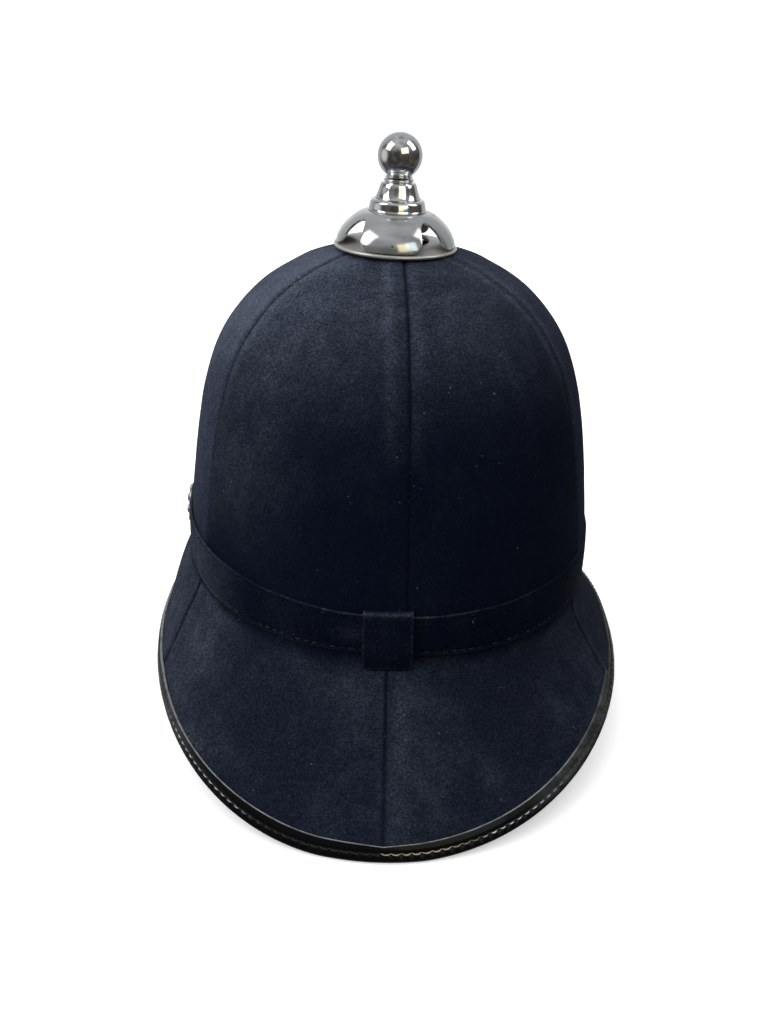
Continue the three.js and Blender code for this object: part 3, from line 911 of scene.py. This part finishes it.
def add_piece(bm, name, finishes, nodes, slot):
    """Makes a bmesh a smooth object that rides on the helmet and stands for its nodes."""
    piece = add_object(bm, name, finishes)
    piece.data.shade_smooth()
    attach(piece, BODY)
    if nodes:
        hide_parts(*nodes)
    return piece


def thicken(piece, thickness, lined=False):
    """Gives a sheet its thickness on the inside."""
    wall = piece.modifiers.new("Wall", "SOLIDIFY")
    wall.thickness = thickness
    wall.offset = -1
    wall.use_even_offset = True
    wall.material_offset = int(lined)


def soften(piece, width, segments=2, sharper_than=35):
    """Rounds the sharp edges of a piece."""
    edge = piece.modifiers.new("Edge", "BEVEL")
    edge.width = width
    edge.segments = segments
    edge.limit_method = "ANGLE"
    edge.angle_limit = math.radians(sharper_than)


def seam_angle(degrees, up, crown):
    """Where a seam runs at one height. The back one lies a little to the right."""
    half_width = through(CROWN_SECTIONS, up)[1] * MM
    shift = crown.back_seam_shift / half_width if degrees % 360 == 0 else 0
    return math.radians(degrees) + crown.turn + shift


def crown_panel(sector, crown, band):
    """One panel, rolled into its seams, with a strip of turned-in cloth beside its last seam."""
    at_back = sector.end == 360
    reach = crown.strip_width if at_back else crown.side_strip_width

    def place(across, up):
        start, end = seam_angle(sector.start, up, crown), seam_angle(sector.end, up, crown)
        around = lerp(start, end, gathered(across))
        point = crown_point(up, around)
        spread = (crown_point(up, around + TINY) - point).length / TINY
        from_start, from_end = (around - start) * spread, (end - around) * spread
        back_share = BACK_SEAM_LEAST + BACK_SEAM_RISE.at(point.z)
        roll = hump(from_start, crown.seam_roll) * (back_share if sector.start == 0 else 1)
        roll += hump(from_end, crown.seam_roll) * (back_share if at_back else 1)
        strip = 1 - STRIP_EDGE.at(from_end - reach)
        strip *= 1 if at_back else SIDE_STRIP_RISE.at(point.z)
        off = crown.strip_rise * strip - crown.seam_dip * roll
        off += crown.unevenness * stray(point, CROWN_STRAY)
        beside = FIRST_LINE.at(from_start) + LAST_LINE.at(from_end - reach)
        to_left = -math.sin(around)
        wear_and_painted_light = TOP_WEAR.at(point.z) + TOP_LEFT_WEAR.at(point.z) * to_left
        # The left is dustier, and painted light pales the far left.
        wear_and_painted_light += LEFT_WEAR.at(to_left) * LEFT_WEAR_RISE.at(point.z) + FAR_LEFT_PAINTED_LIGHT.at(to_left)
        wear_and_painted_light += SEAM_WEAR.at(point.z) * beside
        # Painted shadow just above the band.
        over_band = point.z - band_foot(around, band) - band_width(around, band)
        wear_and_painted_light *= (1 - SEAM_CLEAN * roll) * PAINTED_SHADE_ABOVE_BAND.at(over_band)
        return point + outward(crown_point, up, around) * off, wear_and_painted_light

    return lofted(crown.columns, crown.rows, place)


def peak_cover(which, peak, band, crown):
    """One peak, rolled into its side seams; the back one has a ridged seam down its middle."""
    surface = peak_surface(which, peak, band)
    ridged = which.name == "back"

    def place(across, up):
        around = gathered(across) * 2 - 1
        if ridged:
            around = gathered(2 * across) - 1 if across < 0.5 else gathered(2 * across - 1)
        height = up / SHOWN_ROWS if up < SHOWN_ROWS else 1 + (up - SHOWN_ROWS) / (1 - SHOWN_ROWS)
        point = surface(height, around)
        spread = (surface(height, around + TINY) - point).length / TINY
        from_end = (1 - abs(around)) * spread
        off = crown.unevenness * stray(point, PEAK_STRAY) - crown.seam_dip * SIDE_GROOVE.at(from_end)
        aside = math.sin(math.radians(which.middle + around * which.root_half_angle))
        wear_and_painted_light = PEAK_WEAR + PEAK_LEFT_WEAR.at(-aside) + PEAK_SIDE_WEAR.at(abs(aside))
        if ridged:
            from_middle = around * spread
            ridge = peak.ridge * math.exp(-abs(from_middle) / peak.ridge_reach)
            off += ridge * (1 - RIDGE_FADE * height) - RIDGE_GROOVE.at(from_middle)
            wear_and_painted_light += BELOW_KEEPER.at(from_middle) * BELOW_KEEPER_RISE.at(height)
            wear_and_painted_light += RIDGE_WEAR.at(from_middle)
            wear_and_painted_light *= 1 - RIDGE_CLEAN.at(from_middle)
        off *= 1 - LEVEL_BELOW_BAND.at(height)
        # Painted shade just below the band.
        wear_and_painted_light *= (1 - PAINTED_SHADE_BELOW_BAND.at(height)) * (1 - SIDE_SEAM_CLEAN.at(from_end))
        return point + outward(surface, height, around) * off, wear_and_painted_light

    return lofted(which.columns, peak.rows, place)


def binding_section(binding, peak, width, at):
    """Where the leather lies past the edge and above the outer face, from the underside round."""
    lip = binding.gap + binding.leather
    if at < FLAP_ROWS:
        return lerp(-binding.width, 0, at / FLAP_ROWS), -peak.wall - lip
    if at > 1 - FLAP_ROWS:
        past = lerp(0, -width, (at - 1 + FLAP_ROWS) / FLAP_ROWS)
        return past, lip - binding.seam_groove * hump(past + binding.seam_inset, BINDING_GROOVE)
    turn = (at - FLAP_ROWS) / (1 - 2 * FLAP_ROWS) * math.pi
    middle, tall = -peak.wall / 2, lip + peak.wall / 2
    return lip * math.sin(turn), middle - tall * math.cos(turn)


def binding_frame(surface, around):
    """The edge of a peak, the way past it and the way off its outer face."""
    edge = surface(0, around)
    past = (edge - surface(0.02, around)).normalized()
    return edge, past, outward(surface, 0, around)


def binding_seam(surface, binding):
    """The path of the stitches as pairs of a place on the rim and a point."""
    above = binding.gap + binding.leather - binding.seam_groove + binding.thread * 0.9
    path = []
    for step in range(SEAM_STEPS + 1):
        around = lerp(-SEAM_END, SEAM_END, step / SEAM_STEPS)
        edge, beyond, off = binding_frame(surface, around)
        path.append((around, edge - beyond * binding.seam_inset + off * above))
    return path


def binding_leather(which, peak, band, binding):
    """The leather folded over a peak's rim, puffed up between the holes of its stitches."""
    surface = peak_surface(which, peak, band)
    holes = [at for at, _, _ in spaced(binding_seam(surface, binding), binding.pitch)]
    at_back = which.name == "back"

    @functools.lru_cache(maxsize=None)
    def frame_at(around):
        return binding_frame(surface, around)

    @functools.lru_cache(maxsize=None)
    def puffed(around):
        """How far the leather puffs up here, between the holes at a stitch's ends."""
        after = bisect.bisect(holes, around)
        if not 0 < after < len(holes):
            return 0.0
        return math.cos(math.pi * (around - holes[after - 1]) / (holes[after] - holes[after - 1])) ** 2

    def place(across, up):
        around = across * 2 - 1
        edge, beyond, off = frame_at(around)
        leftward = -around if at_back else around
        width = binding.front_width
        # Painted reflection: the flap is greyed at the sides.
        flap_reflection = LEFT_FLAP_REFLECTION.at(leftward)
        if at_back:
            drawn = binding.point_draw * math.exp(-abs(edge.x - AXIS.x) / binding.point_reach)
            width = (binding.width - drawn) * lerp(1, binding.left_share, BINDING_NARROWS.at(leftward))
            flap_reflection += RIGHT_FLAP_REFLECTION.at(-leftward)
        past, above = binding_section(binding, peak, width, up)
        ripple = 0.0
        if above > 0:
            pucker = binding.pucker * PUCKER.at(past + binding.seam_inset)
            ripple = RIPPLE * waver(edge, RIPPLE_SPREAD) + pucker * puffed(around)
        point = edge + beyond * past + off * (above + ripple)
        point.z = max(point.z, 0)
        edge_wear = 1 - EDGE_KEPT_RIGHT.at(-leftward)
        return point, edge_wear * EDGE_WEAR.at(up) + flap_reflection * FLAP_REFLECTION_FACE.at(up)

    return lofted(which.columns * BINDING_FACES, binding.rows, place)


def spaced(path, pitch):
    """Places along a path of (at, point) pairs, a pitch apart, each with its direction."""
    travelled = 0.0
    due = pitch / 2
    for (first, start), (last, end) in zip(path, path[1:]):
        step = (end - start).length
        while step > 0 and due <= travelled + step:
            part = (due - travelled) / step
            yield lerp(first, last, part), start.lerp(end, part), (end - start).normalized()
            due += pitch
        travelled += step


def stitch_row():
    """An empty bmesh whose points can be marked as bare thread or as thread with a painted glint."""
    bm = bmesh.new()
    bm.verts.layers.float.new("bare")
    bm.verts.layers.float.new("rubbed_and_glint")
    return bm


def add_stitch(bm, place, along, off, sizes, sag, bare, rubbed_and_glint=0.0):
    """One stitch of thread lying on a surface, bowed sideways and dipping at its ends."""
    stitch = stitch_row()
    layers = stitch.verts.layers.float
    aside = off.cross(along).normalized()
    turn = Matrix((along, aside, off)).transposed()
    bmesh.ops.create_uvsphere(stitch, u_segments=6, v_segments=7, radius=1)
    for vert in stitch.verts:
        side, out, run = vert.co
        dip = run * run
        vert.co = place + turn @ Vector((
            run * sizes.stitch / 2, side * sizes.thread - sag * (1 - dip), (out - dip * 0.8) * sizes.thread))
        vert[layers["bare"]] = bare
        vert[layers["rubbed_and_glint"]] = rubbed_and_glint * hump(run, GLINT_DOT)
    join(bm, stitch)


class PieceOperator(Operator):
    """Common settings of the operators that make pieces."""

    bl_options = {"REGISTER", "UNDO"}


class HELMET_OT_stage(PieceOperator):
    """Sets the camera, the floor and the light"""

    bl_idname = "helmet.stage"
    bl_label = "Stage"

    def execute(self, context):
        scene = context.scene
        stage = scene.helmet_stage
        lens = bpy.data.cameras.new("camera")
        lens.lens = stage.lens
        lens.clip_start = 0.01
        tilt = Matrix.Rotation(math.pi / 2 - stage.tilt, 4, "X")
        turn = Matrix.Rotation(stage.turn, 4, "Z") @ tilt @ Matrix.Rotation(stage.roll, 4, "Z")
        scene.camera = self.stand(scene, lens, stage.camera, turn)

        bm = bmesh.new()
        bmesh.ops.create_grid(bm, x_segments=8, y_segments=8, size=stage.floor)
        sheet = add_object(bm, "floor", (floor_finish(scene.helmet_colours),))
        sheet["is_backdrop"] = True
        sheet.visible_diffuse = sheet.visible_glossy = False

        for name, place, size, power, tint in WINDOWS:
            lamp = bpy.data.lights.new(name, "AREA")
            lamp.shape = "RECTANGLE"
            lamp.size, lamp.size_y = size
            lamp.energy = power
            lamp.color = tint
            self.hang(scene, lamp, place).visible_diffuse = False
        for name, place, strength in DAYLIGHTS:
            lamp = bpy.data.lights.new(name, "SUN")
            lamp.energy = strength
            lamp.angle = DAYLIGHT_SPREAD
            self.hang(scene, lamp, place).visible_glossy = False

        scene.world = bpy.data.worlds.new("studio")
        scene.world.use_nodes = True
        self.surround(Finish("studio", scene.world.node_tree))
        scene.view_settings.view_transform = "Standard"
        return {"FINISHED"}

    def stand(self, scene, data, place, turn):
        """Puts a camera or a lamp at a place."""
        holder = bpy.data.objects.new(data.name, data)
        holder.matrix_world = Matrix.Translation(place) @ turn
        scene.collection.objects.link(holder)
        return holder

    def hang(self, scene, lamp, place):
        """Puts a lamp at a place and turns it to the helmet."""
        turn = (AIM - Vector(place)).to_track_quat("-Z", "Y").to_matrix().to_4x4()
        return self.stand(scene, lamp, place, turn)

    def surround(self, sky):
        """A room for the plate to mirror, soft light from above for the rest, and a white ground."""
        direction = sky.node("ShaderNodeTexCoord", output="Generated")

        def towards(way):
            inputs = {0: direction, 1: way}
            return sky.node("ShaderNodeVectorMath", {"operation": "DOT_PRODUCT"}, inputs, "Value")

        height = towards(UP)
        inputs = {"Vector": direction, "Scale": 2.2, "Detail": 1.0}
        clutter = sky.between(sky.node("ShaderNodeTexNoise", None, inputs), 0.35, 0.65)
        room, ceiling = sky.mix(clutter, *ROOM_TONES), sky.mix(clutter, *CEILING_TONES)
        mirrored = sky.mix(sky.between(height, 0.3, 0.85), room, ceiling)
        for way, start, full, tone in GLOWS:
            mirrored = sky.mix(sky.between(towards(way), start, full), mirrored, tone)
        soft = sky.between(height, 0.0, 0.9, 0.05, 0.85)
        lit = sky.mix(sky.node("ShaderNodeLightPath", output="Is Glossy Ray"), soft, mirrored)
        shown = sky.mix(sky.node("ShaderNodeLightPath", output="Is Camera Ray"), lit, (1, 1, 1))
        light = sky.node("ShaderNodeBackground", None, {"Color": shown})
        sky.node("ShaderNodeOutputWorld", None, {"Surface": light})


class HELMET_OT_crown(PieceOperator):
    """Makes the six cloth panels of the crown"""

    bl_idname = "helmet.crown"
    bl_label = "Crown"

    def execute(self, context):
        scene = context.scene
        crown, colours = scene.helmet_crown, scene.helmet_colours
        plain = cloth_finish("cover_cloth", colours.cloth, colours, 0.03)
        faded = cloth_finish("faded_cloth", colours.faded, colours, 0.06, 0.25)
        lining = lining_finish(colours)
        for sector in SECTORS:
            piece = add_piece(
                crown_panel(sector, crown, scene.helmet_band), f"cover_{sector.name}",
                (faded if sector.faded else plain, lining), (f"crown_panel_{sector.name}",), "cover_cloth")
            thicken(piece, crown.wall, True)
        return {"FINISHED"}


class HELMET_OT_peaks(PieceOperator):
    """Makes the back and the front peak"""

    bl_idname = "helmet.peaks"
    bl_label = "Peaks"

    def execute(self, context):
        scene = context.scene
        peak, colours = scene.helmet_peaks, scene.helmet_colours
        cloth = cloth_finish("peak_cloth", colours.cloth, colours, 0.1, 0.04)
        lining = bpy.data.materials["lining"]
        for which in PEAKS:
            cover = peak_cover(which, peak, scene.helmet_band, scene.helmet_crown)
            piece = add_piece(cover, f"{which.name}_peak_cloth", (cloth, lining),
                              (f"{which.name}_peak",), "peak_cloth")
            thicken(piece, peak.wall, True)
        return {"FINISHED"}


class HELMET_OT_bindings(PieceOperator):
    """Makes the leather bindings and their stitches"""

    bl_idname = "helmet.bindings"
    bl_label = "Bindings"

    def execute(self, context):
        scene = context.scene
        peak, band, binding = scene.helmet_peaks, scene.helmet_band, scene.helmet_binding
        colours = scene.helmet_colours
        leather = leather_finish(colours)
        thread = thread_finish("binding_thread", colours, colours.thread, colours.bare_thread, 0.3, 0.5)
        for which in PEAKS:
            piece = add_piece(binding_leather(which, peak, band, binding),
                              f"{which.name}_binding_leather", (leather,),
                              (f"{which.name}_binding",), "binding_leather")
            thicken(piece, binding.leather)
            soften(piece, LEATHER_EDGE)
            add_piece(self.stitches(which, peak, band, binding), f"{which.name}_binding_stitches",
                      (thread,), (), "binding_leather")
        return {"FINISHED"}

    def stitches(self, which, peak, band, binding):
        """A row of stitches along the rim. At the back some are bare and others carry painted glints."""
        surface = peak_surface(which, peak, band)
        bm = stitch_row()
        for around, place, along in spaced(binding_seam(surface, binding), binding.pitch):
            off = binding_frame(surface, around)[2]
            bare = rubbed_and_glint = 0.0
            if which.name == "back":
                bare = 1 - BARE_FADE.at(around) if BARE_START < around < BARE_FADE.full else 0.0
                # Painted glints on the stitches at the back's right and left.
                rubbed_and_glint = GLINT_RIGHT.at(around) + GLINT_LEFT.at(-around)
                rubbed_and_glint *= GLINT_MEAN + GLINT_SWING * waver(place, GLINT_SPREAD)
            add_stitch(bm, place, along, off, binding, binding.sag, bare, max(0.0, rubbed_and_glint))
        return bm


class HELMET_OT_band(PieceOperator):
    """Makes the band, its stitches and the keeper"""

    bl_idname = "helmet.band"
    bl_label = "Band"

    def execute(self, context):
        scene = context.scene
        band, colours = scene.helmet_band, scene.helmet_colours
        cloth = cloth_finish("band_cloth", colours.cloth, colours, 0.06, 0.1)
        thread = thread_finish("band_thread", colours, colours.cloth, colours.band_thread, 0.8, 0.05)
        self.strip(self.ring(band), "band_cloth", cloth, "hat_band", band.cloth)
        add_piece(self.stitches(band), "band_stitches", (thread,), (), "band_cloth")
        self.strip(self.keeper(band), "keeper_cloth", cloth, "band_keeper", band.keeper_cloth)
        return {"FINISHED"}

    def strip(self, bm, name, cloth, node, thickness):
        """Makes a sheet a strip of cloth with round edges."""
        piece = add_piece(bm, name, (cloth,), (node,), "band_cloth")
        thicken(piece, thickness)
        soften(piece, CLOTH_EDGE, 3)

    def face(self, band, around, up):
        """A point on the band's outer face."""
        ring = Vector((math.sin(around), math.cos(around), 0))
        width = band_width(around, band)
        waved = band.wave * noise.noise(ring * 7 + Vector((0, 0, up)))
        height = band_foot(around, band) + width * up + waved
        from_edge = min(up, 1 - up) * width
        standoff = band.gap + band.cloth + band.crowning * 4 * up * (1 - up)
        standoff -= band.stitch_groove * hump(from_edge - band.stitch_inset, BAND_GROOVE)
        return foot_point(around, height, standoff)

    def ring(self, band):
        """The band's outer face, closed at the front."""

        def place(across, rise):
            around, up = across * math.tau + math.pi, gathered(rise)
            aside = math.sin(around)
            near_keeper = math.exp(-from_back(around) / BAND_TOP_SPREAD)
            rubbed_and_glint = waver(Vector((around, 0, 0)), BAND_RUBBED_SPREAD)
            rubbed_and_glint = BAND_RUBBED_MEAN + BAND_RUBBED_SWING * rubbed_and_glint
            wear_and_painted_light = BAND_TOP_WEAR.at(up) * near_keeper * rubbed_and_glint + BAND_FOOT_WEAR.at(up)
            wear_and_painted_light += BAND_LEFT_WEAR.at(-aside) + BAND_RIGHT_WEAR.at(aside)
            # Painted highlight on a fold of the band, left of the keeper.
            wear_and_painted_light += FOLD_HIGHLIGHT.at(math.remainder(around, math.tau)) * FOLD_HIGHLIGHT_RISE.at(up)
            return self.face(band, around, up), wear_and_painted_light

        bm = lofted(band.columns, band.rows, place)
        bmesh.ops.remove_doubles(bm, verts=bm.verts, dist=0.01 * MM)
        return bm

    def stitches(self, band):
        """A row of stitches along each edge of the band."""
        bm = stitch_row()
        inset = band.stitch_inset / band.width
        for up, faded in ((inset, FOOT_STITCHES_BARE), (1 - inset, TOP_STITCHES_BARE)):
            turns = [math.pi * (2 * step / BAND_STEPS + 1) for step in range(BAND_STEPS + 1)]
            path = [(around, self.face(band, around, up)) for around in turns]
            for around, place, along in spaced(path, band.pitch):
                off = outward(lambda rise, turn: self.face(band, turn, rise), up, around)
                bare = min(max(faded + BARE_SWING * waver(place, BARE_SPREAD), 0), 1)
                add_stitch(bm, place + off * band.thread * 0.4, along, off, band, 0, bare)
        return bm

    def keeper(self, band):
        """A loop of cloth round the band, from behind its foot over its face to behind its top."""
        half = band.keeper_width / 2 / (CROWN_SECTIONS[0].half_width * MM)

        def place(across, up):
            around = lerp(-half, half, across) * (KEEPER_FOOT_SHARE + KEEPER_FOOT.at(up))
            standoff, height = through(KEEPER_LOOP, up)
            bow = KEEPER_BOW * waver(Vector((across, up, 0)), KEEPER_BOW_SPREAD)
            wear_and_painted_light = lerp(KEEPER_LEFT_WEAR, KEEPER_RIGHT_WEAR, across) * KEEPER_FOLD_WEAR.at(up)
            wear_and_painted_light += sum(side.at(across) for side in KEEPER_SIDES)
            return foot_point(around, height * MM, standoff * MM + bow), wear_and_painted_light

        return lofted(*KEEPER_FACES, place)


class HELMET_OT_rosettes(PieceOperator):
    """Makes the plated rosettes at the sides"""

    bl_idname = "helmet.rosettes"
    bl_label = "Rosettes"

    def execute(self, context):
        scene = context.scene
        band, rosette, colours = scene.helmet_band, scene.helmet_rosettes, scene.helmet_colours
        plate = plate_finish("bright_plate", colours.plate, colours, 0.05)
        for name, side in (("left", -1), ("right", 1)):
            around = side * rosette.place + scene.helmet_crown.turn
            middle = band_foot(around, band) + band_width(around, band) / 2
            standoff = 2 * band.gap + band.cloth + band.crowning
            seat = foot_point(around, middle, standoff)
            facing = outward(lambda height, turn: foot_point(turn, height, standoff), middle, around)
            bm = self.flower(rosette)
            turn = facing.to_track_quat("Z", "Y").to_matrix().to_4x4()
            bmesh.ops.transform(bm, matrix=Matrix.Translation(seat) @ turn, verts=bm.verts)
            add_piece(bm, f"rosette_{name}", (plate,), (f"side_rosette_{name}",), "bright_plate")
        return {"FINISHED"}

    def flower(self, rosette):
        """A rimmed disc with a ring of petals, a ring of beads and a boss."""
        radius, rim, dome = (value / MM for value in (rosette.radius, rosette.rim, rosette.dome))
        edge, lip, flat = 0.3, 0.4, 0.5
        bm = spun((
            Turning(0, 0), Turning(radius - edge, 0), Turning(radius, edge), Turning(radius, rim - edge),
            Turning(radius - lip, rim), Turning(radius - lip - flat, rim),
            Turning(radius - 2 * lip - flat, rim - lip), Turning(radius * 0.62, dome - edge),
            Turning(radius * 0.3, dome), Turning(0, dome),
        ), 48)
        petal = rosette.petal_length, rosette.petal_width, rosette.petal_rise
        self.circle(bm, rosette.petals, 0, (rosette.petal_circle, 0, rosette.petal_rise), petal, (20, 12))
        bead = rosette.boss + BEAD_GAP, 0, rosette.dome + BEAD_RISE
        self.circle(bm, rosette.petals * 2, 0.5, bead, (BEAD, BEAD, BEAD), (10, 6))
        boss = rosette.boss, rosette.boss, rosette.boss * BOSS_FLATNESS
        self.circle(bm, 1, 0, (0, 0, rosette.dome), boss, (28, 14))
        return bm

    def circle(self, bm, number, first, place, size, faces):
        """Adds a ring of lumps of one size, the first of which is a share of a step round."""
        shape = Matrix.Translation(place) @ Matrix.Diagonal((*size, 1))
        for step in range(number):
            turn = Matrix.Rotation((step + first) * math.tau / number, 4, "Z")
            join(bm, lump(*faces, turn @ shape))


class HELMET_OT_vent(PieceOperator):
    """Makes the vent's plate and dome, the collar, the stem and the ball"""

    bl_idname = "helmet.vent"
    bl_label = "Vent and ball"

    def execute(self, context):
        scene = context.scene
        vent, colours = scene.helmet_vent, scene.helmet_colours
        bright = bpy.data.materials["bright_plate"]
        hazy = plate_finish("hazy_plate", colours.plate, colours, 0.12, 0.78)
        dull = plate_finish("dull_plate", colours.dull_plate, colours, 0.3, 0.5)
        inside = plate_finish("vent_inside", colours.vent_inside, colours, 0.5, 0.3)
        turn = Matrix.Rotation(vent.lean, 4, "Y") @ Matrix.Rotation(
            scene.helmet_crown.turn + vent.twist, 4, "Z")
        stand = Matrix.Translation(AXIS + Vector((0, 0, vent.foot))) @ turn
        made = (
            ("vent_plate_rim", spun(PLATE_PROFILE, vent.steps), (dull,), "vent_plate", "dull_plate"),
            ("vent_dome_legs", self.dome(vent), (hazy, inside), "vent_dome", "bright_plate"),
            ("collar", spun(COLLAR_PROFILE, vent.steps), (bright,), "finial_collar", "bright_plate"),
            ("stem", spun(STEM_PROFILE, vent.steps), (bright,), "finial_stem", "bright_plate"),
            ("ball", spun(self.ball(vent), vent.steps), (bright,), "finial_ball", "bright_plate"),
        )
        for name, bm, finishes, node, slot in made:
            bmesh.ops.transform(bm, matrix=stand, verts=bm.verts)
            piece = add_piece(bm, name, finishes, (node,), slot)
            if name == "vent_dome_legs":
                thicken(piece, vent.sheet, True)
            soften(piece, METAL_EDGE, 3, 22)
        return {"FINISHED"}

    def ball(self, vent):
        """The ball's profile, from its neck up."""
        sizes = vent.ball_radius, vent.ball_height, vent.neck_radius
        radius, middle, neck = (value / MM for value in sizes)
        foot = STEM_PROFILE[-1].height + NECK_GAP
        steps = 40
        first = math.pi - math.asin(neck / radius)
        turns = [first * (1 - step / steps) for step in range(steps)]
        arc = [Turning(radius * math.sin(turn), middle + radius * math.cos(turn)) for turn in turns]
        ring = [Turning(neck + point.radius, foot + point.height) for point in NECK_RING]
        return [Turning(0, foot), *ring, *arc, Turning(0, middle + radius)]

    def dome(self, vent):
        """The dome as a ring of legs that join above the openings between them."""
        foot = DOME_PROFILE[0].height * MM
        lowest = math.asin((foot - vent.arch_foot) / vent.arch_height)
        half = math.pi / vent.legs
        below, above, columns = 26, 16, 28

        def profile(at):
            """Radius and height at a share of the profile."""
            return [value * MM for value in through(DOME_PROFILE, at)]

        def along(height):
            """The share of the profile at which it reaches a height, by halving."""
            low, high = 0.0, 0.9
            for _ in range(40):
                middle = (low + high) / 2
                low, high = (middle, high) if profile(middle)[1] < height else (low, middle)
            return low

        apex = along(vent.arch_foot + vent.arch_height)

        def place(across, up):
            row = up * (below + above)
            wide = half
            if row <= below:
                rise = math.sin(lerp(lowest, math.pi / 2, row / below))
                radius, height = profile(along(vent.arch_foot + vent.arch_height * rise))
                gap = vent.arch_half_width * math.sqrt(max(0.0, 1 - rise * rise))
                under = max(0.0, vent.corner - (height - foot))
                rounding = vent.corner - math.sqrt(max(0.0, vent.corner ** 2 - under ** 2))
                wide -= math.asin(min(1.0, gap / radius)) + rounding / radius
            else:
                radius, height = profile(lerp(apex, 1, (row - below) / above))
            around = (across * 2 - 1) * wide
            return Vector((radius * math.sin(around), -radius * math.cos(around), height)), 0.0

        bm = lofted(columns, below + above, place)
        others = vent.legs - 1
        bmesh.ops.spin(bm, geom=bm.verts[:] + bm.edges[:] + bm.faces[:], cent=(0, 0, 0), axis=(0, 0, 1),
                       angle=math.tau * others / vent.legs, steps=others, use_duplicate=True)
        bmesh.ops.remove_doubles(bm, verts=bm.verts, dist=0.02 * MM)
        bmesh.ops.recalc_face_normals(bm, faces=bm.faces)
        return bm


class HELMET_PT_pieces(Panel):
    """Lists the helmet's pieces"""

    bl_idname = "HELMET_PT_pieces"
    bl_label = "Helmet"
    bl_space_type = "VIEW_3D"
    bl_region_type = "UI"
    bl_category = "Helmet"

    def draw(self, context):
        for operator in OPERATORS:
            self.layout.operator(operator.bl_idname)
        for name in GROUPS:
            box = self.layout.box()
            group = getattr(context.scene, name)
            for prop in group.bl_rna.properties:
                if prop.identifier not in ("rna_type", "name"):
                    box.prop(group, prop.identifier)


OPERATORS = (HELMET_OT_stage, HELMET_OT_crown, HELMET_OT_peaks, HELMET_OT_bindings, HELMET_OT_band,
             HELMET_OT_rosettes, HELMET_OT_vent)
GROUPS = {
    "helmet_crown": CrownSizes,
    "helmet_peaks": PeakSizes,
    "helmet_binding": BindingSizes,
    "helmet_band": BandSizes,
    "helmet_rosettes": RosetteSizes,
    "helmet_vent": VentSizes,
    "helmet_colours": Colours,
    "helmet_stage": StageSizes,
}


def register():
    for group in GROUPS.values():
        bpy.utils.register_class(group)
    for name, group in GROUPS.items():
        setattr(bpy.types.Scene, name, PointerProperty(type=group))
    for cls in (*OPERATORS, HELMET_PT_pieces):
        bpy.utils.register_class(cls)


def unregister():
    for cls in (HELMET_PT_pieces, *reversed(OPERATORS)):
        bpy.utils.unregister_class(cls)
    for name in GROUPS:
        delattr(bpy.types.Scene, name)
    for group in reversed(list(GROUPS.values())):
        bpy.utils.unregister_class(group)


def main():
    register()
    bpy.ops.helmet.stage()
    bpy.ops.helmet.crown()
    bpy.ops.helmet.peaks()
    bpy.ops.helmet.bindings()
    bpy.ops.helmet.band()
    bpy.ops.helmet.rosettes()
    bpy.ops.helmet.vent()
    boxes = {"cad": CAD_BOX, "visual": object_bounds()}
    {name: [list(corner) for corner in box] for name, box in boxes.items()}


if __name__ == "__main__":
    main()
